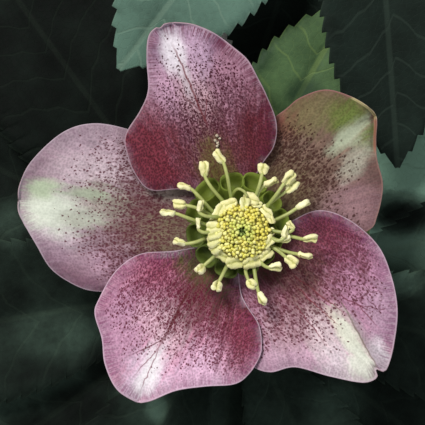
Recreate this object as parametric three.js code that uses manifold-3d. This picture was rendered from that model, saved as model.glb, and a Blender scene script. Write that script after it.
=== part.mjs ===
// A hellebore plant, lifted with a short piece of its crown and laid on a flat surface.
// The one open bloom faces straight up on its stalk. One compound leaf lies spread under the
// bloom, and a second, smaller one reaches over it from the crown's side.
// Millimetres, +Z up. The bloom's axis is the vertical through the model's own zero while it is
// made; at the end the whole plant moves so that the middle of its footprint is the origin.
import * as THREE from "three";
import { mergeVertices } from "three/addons/utils/BufferGeometryUtils.js";
import Module from "manifold-3d";

const wasm = await Module();
wasm.setup();

// ---- driving dimensions ----
const seatGap = 0.3; // left between pieces that touch
const bloomBase = 22; // height of the lowest sepal's foot
const bowlDepth = 13; // rise of the sepals from foot to rim
const bowlReach = 47; // distance from the axis at which the bowl runs level
const sepalThickness = 0.7;
const sepalStep = 1.25; // height from one overlapping sepal to the next
const sepalFoot = [5, 2.4]; // where each sepal starts: distance from the axis, half width
const sepalRows = 14;
const sepalHalfColumns = 4;
const receptacleRadius = sepalFoot[0] - seatGap;
const receptacleTop = 4.9; // above bloomBase
const nectaryCount = 12;
const leafThickness = 0.7;
const leafletRows = 11;
const toothLength = 1.1;
const headRadius = 5.9;
const headRim = 10.6; // height of the stamen head's widest ring above bloomBase
const headTop = 13.2;
const headCentre = new THREE.Vector2(0.4, -0.8); // the head leans this far off the axis
const wellRadius = 1.7; // the open middle of the stamen head
const budCount = 44; // packed young anthers
const goldenAngle = Math.PI * (3 - Math.sqrt(5));

// The five sepals. A higher layer lies nearer the viewer. Each outline runs from the foot to the
// tip on the left and right of the midrib, seen from above and looking outwards, as
// [distance along the midrib, distance to the side].
const sepals = [
  {
    name: "sepal_top",
    layer: 2,
    bearing: 108.3,
    tip: 42.0,
    left: [[10.4, 7.8], [12.5, 14.3], [16.2, 16.2], [20.5, 16.5], [24.2, 15.6], [27.9, 11.3],
      [31.2, 8.6], [36.8, 7.0], [40.9, 5.2], [42.1, 2.7]],
    right: [[10.3, 7.9], [13.2, 11.5], [17.4, 13.3], [22.8, 13.1], [26.7, 12.5], [30.6, 11.7],
      [33.8, 9.8], [37.5, 7.1], [40.3, 3.8]],
    tipLift: -1.5,
    dish: 1.0,
    crease: 0,
  },
  {
    name: "sepal_upper_right",
    layer: 0,
    bearing: 39.7,
    tip: 34.4,
    left: [[10.3, 9.8], [17.2, 12.2], [22.0, 12.2], [25.3, 12.1], [29.9, 10.2], [32.7, 6.2],
      [34.2, 2.0]],
    right: [[10.3, 9.8], [15.0, 15.0], [19.6, 16.6], [22.1, 15.5], [25.0, 13.3], [27.2, 10.8],
      [29.0, 6.9], [31.5, 3.5], [33.4, 1.4]],
    tipLift: 1.5,
    dish: 1.2,
    crease: 0.6,
  },
  {
    name: "sepal_lower_right",
    layer: 1,
    bearing: -46.6,
    tip: 39.5,
    left: [[6.0, 8.0], [8.2, 13.7], [13.6, 16.7], [20.9, 17.3], [27.0, 15.1], [32.6, 11.3],
      [36.9, 6.2], [39.2, 2.2]],
    right: [[5.8, 8.2], [8.6, 12.6], [13.2, 16.0], [17.8, 17.4], [21.8, 16.8], [24.7, 15.0],
      [27.2, 10.9], [33.0, 7.2], [38.2, 3.2]],
    tipLift: 0.5,
    dish: 1.0,
    crease: 1.4,
  },
  {
    name: "sepal_lower_left",
    layer: 2,
    bearing: 239.7,
    tip: 39.3,
    left: [[10.6, 6.4], [12.5, 8.9], [14.5, 12.8], [17.5, 15.2], [19.9, 16.1], [23.8, 15.9],
      [26.9, 14.4], [30.1, 9.7], [33.6, 5.2], [37.6, 2.0]],
    right: [[10.4, 8.8], [14.4, 14.4], [19.7, 16.8], [26.0, 16.8], [28.8, 16.0], [32.2, 12.4],
      [36.1, 9.4], [39.1, 4.9]],
    tipLift: -0.8,
    dish: 1.0,
    crease: 0.5,
  },
  {
    name: "sepal_left",
    layer: 0,
    bearing: 172.8,
    tip: 43.4,
    left: [[10.3, 8.8], [15.6, 12.9], [20.5, 15.0], [26.1, 15.9], [30.3, 15.3], [35.4, 12.7],
      [38.9, 8.3], [42.8, 2.9]],
    right: [[10.3, 9.2], [17.0, 14.5], [24.7, 16.5], [31.3, 16.6], [36.8, 14.0], [41.8, 7.9],
      [43.5, 2.9]],
    tipLift: 0.6,
    dish: 0.8,
    crease: 0,
  },
];

// The opened stamens that stand away from the head: [bearing, reach to the anther, height].
const openStamens = [
  [121, 14.3, 11.6], [107, 15.3, 12.4], [72, 12.9, 11.4], [60, 11.3, 10.6], [49, 13.9, 12.2],
  [41, 12.6, 11.0], [23, 13.1, 11.0], [142, 14.3, 12.0], [156, 13.2, 11.2], [166, 15.3, 12.4],
  [150, 9.4, 13.0], [171, 8.8, 12.6], [189, 12.4, 10.8], [222, 11.0, 10.4], [245, 11.6, 10.4],
  [279, 10.3, 10.8], [289, 13.8, 11.2], [314, 9.6, 11.0], [328, 11.3, 11.6], [340, 13.2, 10.8],
  [354, 13.6, 11.6], [2, 8.6, 12.8],
];
// Larger anthers that lie against the rim of the head: [bearing, reach, turn from outwards, size].
const rimAnthers = [
  [76, 6.6, 88, 1.05], [85, 5.4, 0, 0.85], [115, 5.9, 88, 1.1], [137, 6.1, 110, 0.9], [171, 5.6, 8, 1],
  [184, 5.4, 12, 1], [197, 5.5, 0, 0.95], [211, 5.7, 0, 0.95], [226, 6.0, 105, 0.95], [253, 6.1, 118, 1.05],
  [287, 5.8, 95, 1.1], [316, 6.3, 80, 0.9], [339, 5.5, 72, 0.9], [25, 6.0, 105, 0.75], [40, 6.1, 100, 0.85],
];

// Each leaf: where the stalk meets the blade, and its leaflets as
// [bearing, length, width, height of the tip, rise of the middle, sideways bend of the tip].
const leafUnder = {
  name: "leaf_under",
  hub: [-2, -13, 7.2],
  stalk: [[66.5, 130, 6], [55, 82, 4.2], [32, 36, 3.6], [8, 0, 4.4]],
  leaflets: [
    [126, 88, 36, 0.8, 5.4, 0], [152, 88, 36, 0.8, 2.6, 0], [184, 84, 32, 0.8, 5.4, 9],
    [214, 84, 27, 0.8, 2.6, 3], [242, 85, 28, 0.8, 5.4, 0], [269, 86, 28, 0.8, 2.6, 0],
    [296, 85, 28, 0.8, 5.4, 0], [322, 84, 27, 0.8, 2.6, 0], [348, 82, 26, 0.8, 5.4, 0],
    [14, 78, 25, 0.8, 2.6, 0], [42, 72, 24, 0.8, 5.4, -2],
  ],
};
const leafUpper = {
  name: "leaf_upper",
  hub: [25, 95, 22],
  stalk: [[56.5, 137, 9], [45, 125, 14.5], [34, 108, 19.5]],
  leaflets: [
    [180, 58, 20, 10, 3, 3], [205, 74, 24, 15, 3, 2], [232.4, 80.3, 29, 24, 3, 0],
    [251, 72, 22, 9, 0, 0], [274.5, 83.3, 25, 20.5, 4, 0], [300, 76, 25, 10, 3, -2],
    [326, 60, 21, 5, 3, -3],
  ],
};
const stalkRadius = [2.3, 1.7]; // at the crown, at the blade

const scapeRadius = [3.1, 2.1]; // at the crown, under the bloom
const scapePath = [[60.5, 130.5, 8], [45, 96, 6.2], [24, 52, 4.8], [10, 20, 4.6], [2.2, 4, 7.4],
  [0.2, 0.4, 13], [0, 0, 17]];
const bractRoot = [0, 0, 14.5];
const bractLeaflets = [
  [69.5, 51, 21, 18.5, 2, -6], [112, 31, 11, 18, 1, 2], [196, 29, 11, 18, 1, 2], [236, 31, 12, 18, 1, -2],
  [326, 28, 11, 18, 1, 2], [2, 26, 10, 18, 1, -2],
];

const crownCentre = [64, 138, 6.8];
const crownRadii = [10.5, 14, 7.6];
const crownBearing = 245; // the way the stalks leave it
const rootRadius = [1.7, 1.1];
const rootBearings = [20, 48, 74, 100, 128, 160, 338];
const rootLength = 23;

// ---- small helpers ----
const radians = THREE.MathUtils.degToRad;
const vector = (list) => new THREE.Vector3(...list);
const smooth = THREE.MathUtils.smoothstep;
const mix = THREE.MathUtils.lerp;

function directionOf(bearing) {
  return new THREE.Vector3(Math.cos(radians(bearing)), Math.sin(radians(bearing)), 0);
}

// A closed geometry as a solid, with its shared vertices merged and collapsed faces dropped.
function solidOf(geometry) {
  const bare = new THREE.BufferGeometry();
  bare.setAttribute("position", geometry.getAttribute("position"));
  bare.setIndex(geometry.index);
  const merged = mergeVertices(bare, 1e-3);
  const index = merged.index.array;
  const faces = [];
  for (let i = 0; i < index.length; i += 3) {
    const [a, b, c] = index.slice(i, i + 3);
    if (a !== b && b !== c && c !== a) faces.push(a, b, c);
  }
  return new wasm.Manifold(new wasm.Mesh({
    numProp: 3,
    vertProperties: new Float32Array(merged.getAttribute("position").array),
    triVerts: new Uint32Array(faces),
  }));
}

function geometryOf(solid) {
  const mesh = solid.getMesh();
  const geometry = new THREE.BufferGeometry();
  geometry.setAttribute("position", new THREE.BufferAttribute(mesh.vertProperties, 3));
  geometry.setIndex(new THREE.BufferAttribute(mesh.triVerts, 1));
  return geometry;
}

function joined(geometries) {
  return geometries.map(solidOf).reduce((whole, piece) => whole.add(piece));
}

function indexed(points, faces) {
  const geometry = new THREE.BufferGeometry().setFromPoints(points);
  geometry.setIndex(faces);
  return geometry;
}

// Gives an open sheet its thickness: the sheet is the upper face, and the under face repeats its
// triangles along the vertex normals.
function thickSheet(points, triangles, thickness) {
  const count = points.length;
  const normals = points.map(() => new THREE.Vector3());
  for (const corners of triangles) {
    const [a, b, c] = corners.map((k) => points[k]);
    const normal = b.clone().sub(a).cross(c.clone().sub(a));
    for (const k of corners) normals[k].add(normal);
  }
  const under = points.map((point, k) => point.clone().addScaledVector(normals[k].normalize(), -thickness));
  const faces = [];
  const edges = new Map();
  for (const [a, b, c] of triangles) {
    faces.push(a, b, c, count + c, count + b, count + a);
    for (const edge of [[a, b], [b, c], [c, a]]) edges.set(edge.join(), edge);
  }
  for (const [from, to] of edges.values()) {
    if (edges.has([to, from].join())) continue;
    faces.push(to, from, count + from, count + from, count + to, to);
  }
  return indexed([...points, ...under], faces);
}

// A closed round bar along a smooth path, its radius running from the first value to the second.
// grow makes the bar fatter and starts it that much earlier, to cut a socket for it.
function bar(path, radius, sides, steps, grow = 0) {
  const stations = path.map(vector);
  const back = stations[0].clone().sub(stations[1]).setLength(grow);
  stations[0].add(back);
  const curve = new THREE.CatmullRomCurve3(stations);
  const frames = curve.computeFrenetFrames(steps, false);
  const points = [];
  const faces = [];
  for (let i = 0; i <= steps; i++) {
    const centre = curve.getPointAt(i / steps);
    const r = mix(radius[0], radius[1], i / steps) + grow;
    for (let j = 0; j < sides; j++) {
      const angle = (2 * Math.PI * j) / sides;
      points.push(centre.clone()
        .addScaledVector(frames.normals[i], r * Math.cos(angle))
        .addScaledVector(frames.binormals[i], r * Math.sin(angle)));
    }
  }
  const start = points.push(curve.getPointAt(0)) - 1;
  const end = points.push(curve.getPointAt(1)) - 1;
  for (let j = 0; j < sides; j++) {
    const next = (j + 1) % sides;
    for (let i = 0; i < steps; i++) {
      const [a, b] = [i * sides + j, i * sides + next];
      const [c, d] = [b + sides, a + sides];
      faces.push(a, b, c, a, c, d);
    }
    faces.push(start, next, j, end, steps * sides + j, steps * sides + next);
  }
  return indexed(points, faces);
}

// A turned shape about +Z from [radius, height] pairs, listed from the axis below to the axis above.
function turned(profile, segments) {
  const geometry = new THREE.LatheGeometry(profile.map((pair) => new THREE.Vector2(...pair)), segments);
  return geometry.rotateX(Math.PI / 2);
}

// Moves a shape made along +Y to a place, with +Y along forward and +Z as near up as it can be,
// then rolled about forward.
function placed(geometry, place, forward, roll = 0) {
  const y = forward.clone().normalize();
  const x = y.clone().cross(new THREE.Vector3(0, 0, 1)).normalize();
  const z = x.clone().cross(y);
  const matrix = new THREE.Matrix4().makeBasis(x, y, z).setPosition(place);
  return geometry.rotateY(roll).applyMatrix4(matrix);
}

function mesh(name, geometry, color, roughness = 0.6) {
  const made = new THREE.Mesh(geometry, new THREE.MeshStandardMaterial({ color, roughness, metalness: 0 }));
  made.name = name;
  return made;
}

// ---- sepals ----
function bowl(r) {
  return bowlDepth * Math.sin((Math.PI / 2) * Math.min(r / bowlReach, 1)) ** 2;
}

function sepalGeometry(sepal) {
  const out = directionOf(sepal.bearing);
  const aside = directionOf(sepal.bearing + 90);
  const outline = (side) => new THREE.SplineCurve(
    [sepalFoot, ...side, [sepal.tip, 0]].map((pair) => new THREE.Vector2(...pair)),
  ).getSpacedPoints(sepalRows);
  const left = outline(sepal.left);
  const right = outline(sepal.right);
  const columns = 2 * sepalHalfColumns + 1;
  const points = [];
  const triangles = [];
  for (let i = 0; i <= sepalRows; i++) {
    const midrib = (left[i].x + right[i].x) / 2;
    for (let j = 0; j < columns; j++) {
      const s = j / sepalHalfColumns - 1; // -1 on the right edge, 1 on the left
      const edge = s > 0 ? left[i] : right[i];
      const along = mix(midrib, edge.x, Math.abs(s));
      const side = s * edge.y;
      const point = out.clone().multiplyScalar(along).addScaledVector(aside, side);
      const free = smooth(along / sepal.tip, 0.62, 1); // no neighbour overlaps here
      const form = sepal.tipLift + sepal.dish * s * s - sepal.crease * Math.exp(-((side / 2.5) ** 2));
      point.z = bloomBase + bowl(Math.hypot(along, side)) + sepal.layer * sepalStep + free * form;
      points.push(point);
      if (i === sepalRows) break; // the tip is a single point
    }
  }
  for (let i = 0; i < sepalRows; i++) {
    for (let j = 0; j < columns - 1; j++) {
      const a = i * columns + j;
      if (i === sepalRows - 1) {
        triangles.push([a, (i + 1) * columns, a + 1]);
      } else {
        const d = a + columns;
        triangles.push([a, d, d + 1], [a, d + 1, a + 1]);
      }
    }
  }
  return thickSheet(points, triangles, sepalThickness);
}

// ---- receptacle with its ring of nectaries ----
function nectaryGeometry(bearing) {
  const out = directionOf(bearing);
  const station = (reach, height) => out.clone().multiplyScalar(reach).setZ(bloomBase + height).toArray();
  const [foot, bend, mouth] = [station(2.6, 3.6), station(6.2, 5.2), station(8.7, 7.5)];
  const tube = solidOf(bar([foot, bend, mouth], [0.9, 2.1], 6, 2));
  const beyond = station(9.3, 8.1);
  const hollow = solidOf(bar([station(6.4, 5.4), mouth, beyond], [0.4, 1.75], 6, 1));
  return tube.subtract(hollow);
}

function receptacleSolid() {
  const under = bloomBase - 4.2;
  const top = bloomBase + receptacleTop;
  const core = turned([[0, under], [2.2, under], [2.8, under + 2], [receptacleRadius, bloomBase - 1.2],
    [receptacleRadius, top - 0.8], [3.9, top], [0, top]], 20);
  let whole = solidOf(core);
  for (let k = 0; k < nectaryCount; k++) {
    whole = whole.add(nectaryGeometry((360 * (k + 0.35)) / nectaryCount));
  }
  return whole;
}

// ---- stamens ----
// An anther: an oval along +Y, pinched along its middle into two lobes.
function antherGeometry(place, forward, scale, roll) {
  const anther = new THREE.SphereGeometry(1, 8, 3);
  const position = anther.getAttribute("position");
  for (let k = 0; k < position.count; k++) {
    const [x, y, z] = [position.getX(k), position.getY(k), position.getZ(k)];
    const pinch = mix(0.55, 1, smooth(Math.abs(x), 0, 0.6));
    const blunt = Math.sign(y) * Math.sqrt(Math.abs(y));
    position.setXYZ(k, x * 1.05 * scale, blunt * 1.5 * scale, z * pinch * 0.62 * scale);
  }
  return placed(anther, place, forward, roll);
}

function headHeight(r) {
  const share = Math.min(r / headRadius, 1);
  return headRim + (headTop - headRim) * Math.sqrt(Math.max(0, 1 - share * share));
}

function stamenSolid() {
  const foot = bloomBase + receptacleTop + seatGap;
  const centre = new THREE.Vector3(headCentre.x, headCentre.y, 0);
  const arc = [1, 0.85, 0.6, 0.3].map((share) => [
    share * headRadius, bloomBase + headHeight(share * headRadius)]);
  const core = turned([[0, foot], [2.8, foot], [3.3, bloomBase + 8.2], [5.2, bloomBase + 9.6], ...arc,
    [0, bloomBase + headTop]], 14).translate(headCentre.x, headCentre.y, 0);
  const pieces = [core];
  openStamens.forEach(([bearing, reach, height], k) => {
    const out = directionOf(bearing);
    const station = (distance, z) => out.clone().multiplyScalar(distance).add(centre).setZ(bloomBase + z);
    const end = station(reach - 0.9, height);
    const bend = station(mix(3, reach, 0.55), mix(9, height, 0.75) + 0.5);
    const path = [station(2.6, 8.0), bend, end].map((point) => point.toArray());
    pieces.push(bar(path, [0.5, 0.4], 4, 3));
    const forward = end.clone().sub(bend).add(new THREE.Vector3(0, 0, 0.6 * Math.sin(2.1 * k)));
    pieces.push(antherGeometry(station(reach, height), forward, 1, 0.9 * Math.sin(1.7 * k)));
  });
  for (const [bearing, reach, turn, size] of rimAnthers) {
    const place = directionOf(bearing).multiplyScalar(reach).add(centre);
    place.z = bloomBase + headHeight(reach) + 0.3;
    pieces.push(antherGeometry(place, directionOf(bearing + turn), size, 0.3));
  }
  for (let k = 0; k < budCount; k++) {
    const r = Math.sqrt(mix((wellRadius + 0.5) ** 2, (headRadius - 1.1) ** 2, (k + 0.5) / budCount));
    const angle = k * goldenAngle;
    const bud = new THREE.OctahedronGeometry(0.5, 0).scale(1, 1, 1.3).rotateZ(angle);
    pieces.push(bud.translate(centre.x + r * Math.cos(angle), centre.y + r * Math.sin(angle),
      bloomBase + headHeight(r) + 0.1));
  }
  const well = new THREE.CylinderGeometry(wellRadius, wellRadius, 8, 12).rotateX(Math.PI / 2)
    .translate(centre.x, centre.y, bloomBase + 9.5 + 4);
  return joined(pieces).subtract(solidOf(well));
}

// ---- carpels: five green styles that stand in the middle of the head ----
function carpelSolid() {
  const foot = bloomBase + 9.5 + seatGap;
  const centre = new THREE.Vector3(headCentre.x, headCentre.y, 0);
  const core = new THREE.CylinderGeometry(0.95, 0.8, 2, 8).rotateX(Math.PI / 2)
    .translate(centre.x, centre.y, foot + 1);
  const styles = Array.from({ length: 5 }, (_, k) => {
    const out = directionOf(72 * k + 20);
    const path = [[0.35, 0.5], [0.6, 2.4], [0.98, 4.1]].map(([reach, height]) => out.clone()
      .multiplyScalar(reach).add(centre).setZ(foot + height).toArray());
    return bar(path, [0.42, 0.34], 5, 3);
  });
  return joined([core, ...styles]);
}

// ---- leaves ----
function leafletShare(t) {
  const widest = 0.6;
  const shape = (x) => x ** 1.5 * (1 - x);
  return shape(t) / shape(widest);
}

// One saw-edged leaflet, arched along its length and folded a little along its midrib.
function leafletGeometry(root, [bearing, length, width, tipHeight, rise, bend], rows) {
  const out = directionOf(bearing);
  const aside = directionOf(bearing + 90);
  const stem = 0.9; // half width of the leaflet's stalk
  const at = (t, share, extra) => {
    const half = Math.max(stem * (1 - t), (width / 2) * leafletShare(t)) + extra;
    const height = mix(root[2], tipHeight, t ** 1.5) + rise * Math.sin(Math.PI * t);
    const fold = 0.16 * half * Math.abs(share) * Math.sin(Math.PI * Math.min(t * 1.15, 1));
    const wave = 0.5 * Math.abs(share) * Math.sin(9 * t + bearing + 2 * share) * Math.sin(Math.PI * t);
    const shift = bend * t * t;
    return out.clone().multiplyScalar(length * t).addScaledVector(aside, share * half + shift)
      .add(new THREE.Vector3(root[0], root[1], height + fold + wave));
  };
  const points = [];
  const triangles = [];
  for (let i = 0; i < rows; i++) {
    const t = i / rows;
    const toothAt = (i + 0.72) / rows;
    const tooth = toothLength * Math.min(1, 2.2 * leafletShare(toothAt));
    points.push(at(t, 1, 0), at(t, 0, 0), at(t, -1, 0), at(toothAt, 1, tooth), at(toothAt, -1, tooth));
    const [l, m, r, leftTooth, rightTooth] = [0, 1, 2, 3, 4].map((k) => 5 * i + k);
    if (i < rows - 1) {
      triangles.push([m, m + 5, leftTooth], [m + 5, l + 5, leftTooth], [m, leftTooth, l]);
      triangles.push([m, r, rightTooth], [m, rightTooth, m + 5], [rightTooth, r + 5, m + 5]);
    } else {
      const tip = 5 * rows;
      triangles.push([m, tip, leftTooth], [m, leftTooth, l], [m, r, rightTooth], [m, rightTooth, tip]);
    }
  }
  points.push(at(1, 0, 0));
  return thickSheet(points, triangles, leafThickness);
}

function stalkPath(leaf) {
  return [...leaf.stalk, leaf.hub];
}

function leafGeometry(leaf) {
  const hub = new THREE.IcosahedronGeometry(2.5, 1).translate(leaf.hub[0], leaf.hub[1], leaf.hub[2] - 0.5);
  const stalk = bar(stalkPath(leaf), stalkRadius, 7, 12);
  const leaflets = leaf.leaflets.map((leaflet) => leafletGeometry(leaf.hub, leaflet, leafletRows));
  return geometryOf(joined([stalk, hub, ...leaflets]));
}

// ---- flower stalk with its bracts ----
function scapeGeometry() {
  const stalk = bar(scapePath, scapeRadius, 10, 22);
  const flare = turned([[0, 16], [scapeRadius[1], 16], [2.2, bloomBase - 4.2 - seatGap],
    [0, bloomBase - 4.2 - seatGap]], 14);
  const bracts = bractLeaflets.map((leaflet) => leafletGeometry(bractRoot, leaflet, 8));
  return geometryOf(joined([stalk, flare, ...bracts]));
}

// ---- crown: a cut piece of the rootstock, flat where it rests ----
function crownGeometry() {
  const forward = directionOf(crownBearing);
  const centre = vector(crownCentre);
  const body = new THREE.SphereGeometry(1, 12, 9).rotateX(Math.PI / 2)
    .scale(crownRadii[0], crownRadii[1], crownRadii[2]).rotateZ(radians(crownBearing - 90))
    .translate(...crownCentre);
  const buds = [[-7, 3, 4], [6, 5, 3.5], [1, 6.5, -4]].map(([side, height, along]) => {
    const place = centre.clone().addScaledVector(directionOf(crownBearing + 90), side)
      .addScaledVector(forward, along).setZ(centre.z + height);
    const lean = forward.clone().multiplyScalar(0.7).setZ(0.9);
    return placed(new THREE.ConeGeometry(2.8, 8, 6), place, lean);
  });
  const roots = rootBearings.map((bearing, k) => {
    const out = directionOf(bearing);
    const length = rootLength * (1 + 0.22 * Math.sin(2.7 * k));
    const path = [[4, 5.6], [length * 0.62, 4.4], [length, rootRadius[1] + 0.5]].map(([reach, height]) => out
      .clone().multiplyScalar(reach).add(centre).setZ(height).toArray());
    return bar(path, rootRadius, 6, 3);
  });
  const surface = new THREE.BoxGeometry(200, 200, 40).translate(crownCentre[0], crownCentre[1], -20);
  const sockets = [leafUnder, leafUpper].map((leaf) => bar(stalkPath(leaf), stalkRadius, 7, 12, seatGap));
  sockets.push(bar(scapePath, scapeRadius, 10, 22, seatGap));
  const whole = [surface, ...sockets].reduce((left, cut) => left.subtract(solidOf(cut)),
    joined([body, ...buds, ...roots]));
  return geometryOf(whole);
}

// Lowers or raises a leaf until its lowest point meets the surface.
function seated(geometry) {
  geometry.computeBoundingBox();
  return geometry.translate(0, 0, -geometry.boundingBox.min.z);
}

// ---- the plant ----
const plant = new THREE.Group();
const sepalColors = { sepal_top: 0xa8497a, sepal_upper_right: 0x9a7468, sepal_lower_right: 0xb4699a,
  sepal_lower_left: 0xb3588a, sepal_left: 0xb99aae };
for (const sepal of sepals) plant.add(mesh(sepal.name, sepalGeometry(sepal), sepalColors[sepal.name], 0.45));
plant.add(mesh("nectaries", geometryOf(receptacleSolid()), 0x66801f, 0.4));
plant.add(mesh("stamens", geometryOf(stamenSolid()), 0xf0eca0, 0.7));
plant.add(mesh("carpels", geometryOf(carpelSolid()), 0x9db14a, 0.5));
plant.add(mesh("flower_stalk", scapeGeometry(), 0x6d7a3c, 0.5));
plant.add(mesh(leafUnder.name, seated(leafGeometry(leafUnder)), 0x24422f, 0.5));
plant.add(mesh(leafUpper.name, leafGeometry(leafUpper), 0x2f5a45, 0.5));
plant.add(mesh("crown", crownGeometry(), 0x4a3524, 0.9));

const footprint = new THREE.Box3().setFromObject(plant);
const middle = footprint.getCenter(new THREE.Vector3());
plant.position.set(-middle.x, -middle.y, 0);

export default plant;
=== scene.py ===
import math
import bpy
import numpy as np
from mathutils import Matrix, Vector, noise


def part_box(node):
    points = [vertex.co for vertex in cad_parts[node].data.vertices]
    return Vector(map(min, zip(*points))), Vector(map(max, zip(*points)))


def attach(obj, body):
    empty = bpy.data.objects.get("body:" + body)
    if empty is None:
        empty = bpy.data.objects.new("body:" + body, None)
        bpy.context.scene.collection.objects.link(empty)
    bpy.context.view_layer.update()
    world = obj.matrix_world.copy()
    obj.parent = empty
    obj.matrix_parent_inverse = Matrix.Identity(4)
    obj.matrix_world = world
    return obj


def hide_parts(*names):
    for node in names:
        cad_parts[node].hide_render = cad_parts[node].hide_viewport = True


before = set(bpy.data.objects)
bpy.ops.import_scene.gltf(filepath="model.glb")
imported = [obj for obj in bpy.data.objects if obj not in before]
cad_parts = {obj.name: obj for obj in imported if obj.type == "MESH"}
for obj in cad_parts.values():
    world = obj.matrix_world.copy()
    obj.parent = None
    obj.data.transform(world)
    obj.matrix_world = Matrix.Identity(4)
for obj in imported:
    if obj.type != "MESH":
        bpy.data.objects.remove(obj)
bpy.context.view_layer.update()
print("frame loaded:", len(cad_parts), "nodes")

# Shapes are worked out in millimetres from the bloom's axis, and moved into the frame at the end.
perMetre = 1000
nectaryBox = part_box("nectaries")
bloomAxis = (nectaryBox[0] + nectaryBox[1]) / 2 * perMetre
goldenAngle = math.pi * (3 - math.sqrt(5))


def tone(red, green, blue):  # a screen colour from 0 to 255, as Blender's linear one
    parts = [c / 255 for c in (red, green, blue)]
    return tuple(c / 12.92 if c <= 0.04045 else ((c + 0.055) / 1.055) ** 2.4 for c in parts) + (1,)


class Wire:  # a node's output that takes part in expressions
    def __init__(self, graph, socket):
        self.graph = graph
        self.socket = socket

    def of(self, name):  # another output of the same node
        return Wire(self.graph, self.socket.node.outputs[name])

    def math(self, operation, *others):
        return self.graph.node("ShaderNodeMath", {"operation": operation}, [self, *others])

    def fade(self, low, high, start=0, end=1):  # smooth step from start at low to end at high
        settings = {"interpolation_type": "SMOOTHSTEP"}
        return self.graph.node("ShaderNodeMapRange", settings, [self, low, high, start, end])

    def __add__(self, other):
        return self.math("ADD", other)

    def __sub__(self, other):
        return self.math("SUBTRACT", other)

    def __mul__(self, other):
        return self.math("MULTIPLY", other)

    def __truediv__(self, other):
        return self.math("DIVIDE", other)

    def __pow__(self, other):
        return self.math("POWER", other)

    def __lt__(self, other):
        return self.math("LESS_THAN", other)

    def __abs__(self):
        return self.math("ABSOLUTE")

    def __rsub__(self, other):
        return self.graph.node("ShaderNodeMath", {"operation": "SUBTRACT"}, [other, self])

    __radd__ = __add__
    __rmul__ = __mul__


class Graph:  # writes nodes into a shader tree or a geometry tree
    def __init__(self, tree):
        self.tree = tree

    def node(self, kind, settings=None, sockets=(), out=0):
        made = self.tree.nodes.new(kind)
        for key, value in (settings or {}).items():
            setattr(made, key, value)
        pairs = sockets.items() if isinstance(sockets, dict) else enumerate(sockets)
        for key, value in pairs:
            if isinstance(value, Wire):
                self.tree.links.new(value.socket, made.inputs[key])
            else:
                made.inputs[key].default_value = value
        return Wire(self, made.outputs[out]) if made.outputs else None

    def mix(self, factor, first, second, blend="MIX"):
        settings = {"data_type": "RGBA", "blend_type": blend}
        return self.node("ShaderNodeMix", settings, {0: factor, 6: first, 7: second}, out=2)

    def shaded(self, color, factor):  # every channel times one factor
        return self.mix(1.0, color, self.node("ShaderNodeCombineColor", None, [factor] * 3), "MULTIPLY")

    def point(self, x, y, z=0):
        return self.node("ShaderNodeCombineXYZ", None, [x, y, z])

    def parts(self, vector):
        split = self.node("ShaderNodeSeparateXYZ", None, [vector])
        return split, split.of("Y"), split.of("Z")

    def stored(self, name):  # an attribute kept in the mesh
        return self.node("ShaderNodeAttribute", {"attribute_name": name}, out="Vector")

    def place(self):
        return self.node("ShaderNodeTexCoord", out="Object")

    def noise(self, vector, scale, detail=2, roughness=0.5):
        sockets = {"Vector": vector, "Scale": scale, "Detail": detail, "Roughness": roughness}
        return self.node("ShaderNodeTexNoise", None, sockets)

    def cells(self, vector, scale, feature="F1", flat=True):
        settings = {"feature": feature, "voronoi_dimensions": "2D" if flat else "3D"}
        return self.node("ShaderNodeTexVoronoi", settings, {"Vector": vector, "Scale": scale})


def newMaterial(name):
    material = bpy.data.materials.new(name)
    material.use_nodes = True
    material.node_tree.nodes.clear()
    return material, Graph(material.node_tree)


# The relief's depth is in metres, like everything that Blender measures.
def finishMaterial(graph, color, roughness, height=None, depth=0.0001, strength=0.5, **constants):
    sockets = {"Base Color": color, "Roughness": roughness}
    sockets.update({name.replace("_", " "): value for name, value in constants.items()})
    if height is not None:
        bump = {"Strength": strength, "Distance": depth, "Height": height}
        sockets["Normal"] = graph.node("ShaderNodeBump", None, bump)
    shader = graph.node("ShaderNodeBsdfPrincipled", None, sockets)
    graph.node("ShaderNodeOutputMaterial", None, {"Surface": shader})


def speckledSkin(name, first, second, grain, roughness, depth):
    material, graph = newMaterial(name)
    speck = graph.noise(graph.place(), *grain)
    color = graph.mix(speck.fade(0.35, 0.65), tone(*first), tone(*second))
    finishMaterial(graph, color, roughness, speck, depth)
    return material


# One colour fades into the next along the piece. "grain" is (scale, detail, roughness) of a noise,
# "specks" is (from, to, cover) of the third colour in it, and "relief" is (depth, strength).
def gradedSkin(name, along, look):
    material, graph = newMaterial(name)
    share = graph.parts(graph.stored(along))[0]
    grain = graph.noise(graph.place(), *look["grain"])
    low, high, cover = look["specks"]
    color = graph.mix(share.fade(*look["span"]), tone(*look["foot"]), tone(*look["tip"]))
    color = graph.mix(grain.fade(low, high) * cover, color, tone(*look["speck"]))
    finishMaterial(graph, color, 0.45, grain, *look["relief"])
    return material


def smoothStep(x, low, high):
    t = np.clip((np.asarray(x, float) - low) / (high - low), 0, 1)
    return t * t * (3 - 2 * t)


def bearingVectors(bearing):  # outwards, and a quarter turn to its left
    turn = math.radians(bearing)
    return np.array([math.cos(turn), math.sin(turn)]), np.array([-math.sin(turn), math.cos(turn)])


def wobble(points, size, seed):  # smooth noise at each point, about -1 to 1
    return np.array([noise.noise(Vector((p[0] / size, p[1] / size, seed))) for p in points])


def evenly(dense, count):  # points at equal distances along a close polyline
    steps = np.linalg.norm(np.diff(dense, axis=0), axis=1)
    length = np.concatenate([[0], np.cumsum(steps)])
    at = np.linspace(0, length[-1], count)
    return np.column_stack([np.interp(at, length, dense[:, k]) for k in range(dense.shape[1])])


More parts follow.
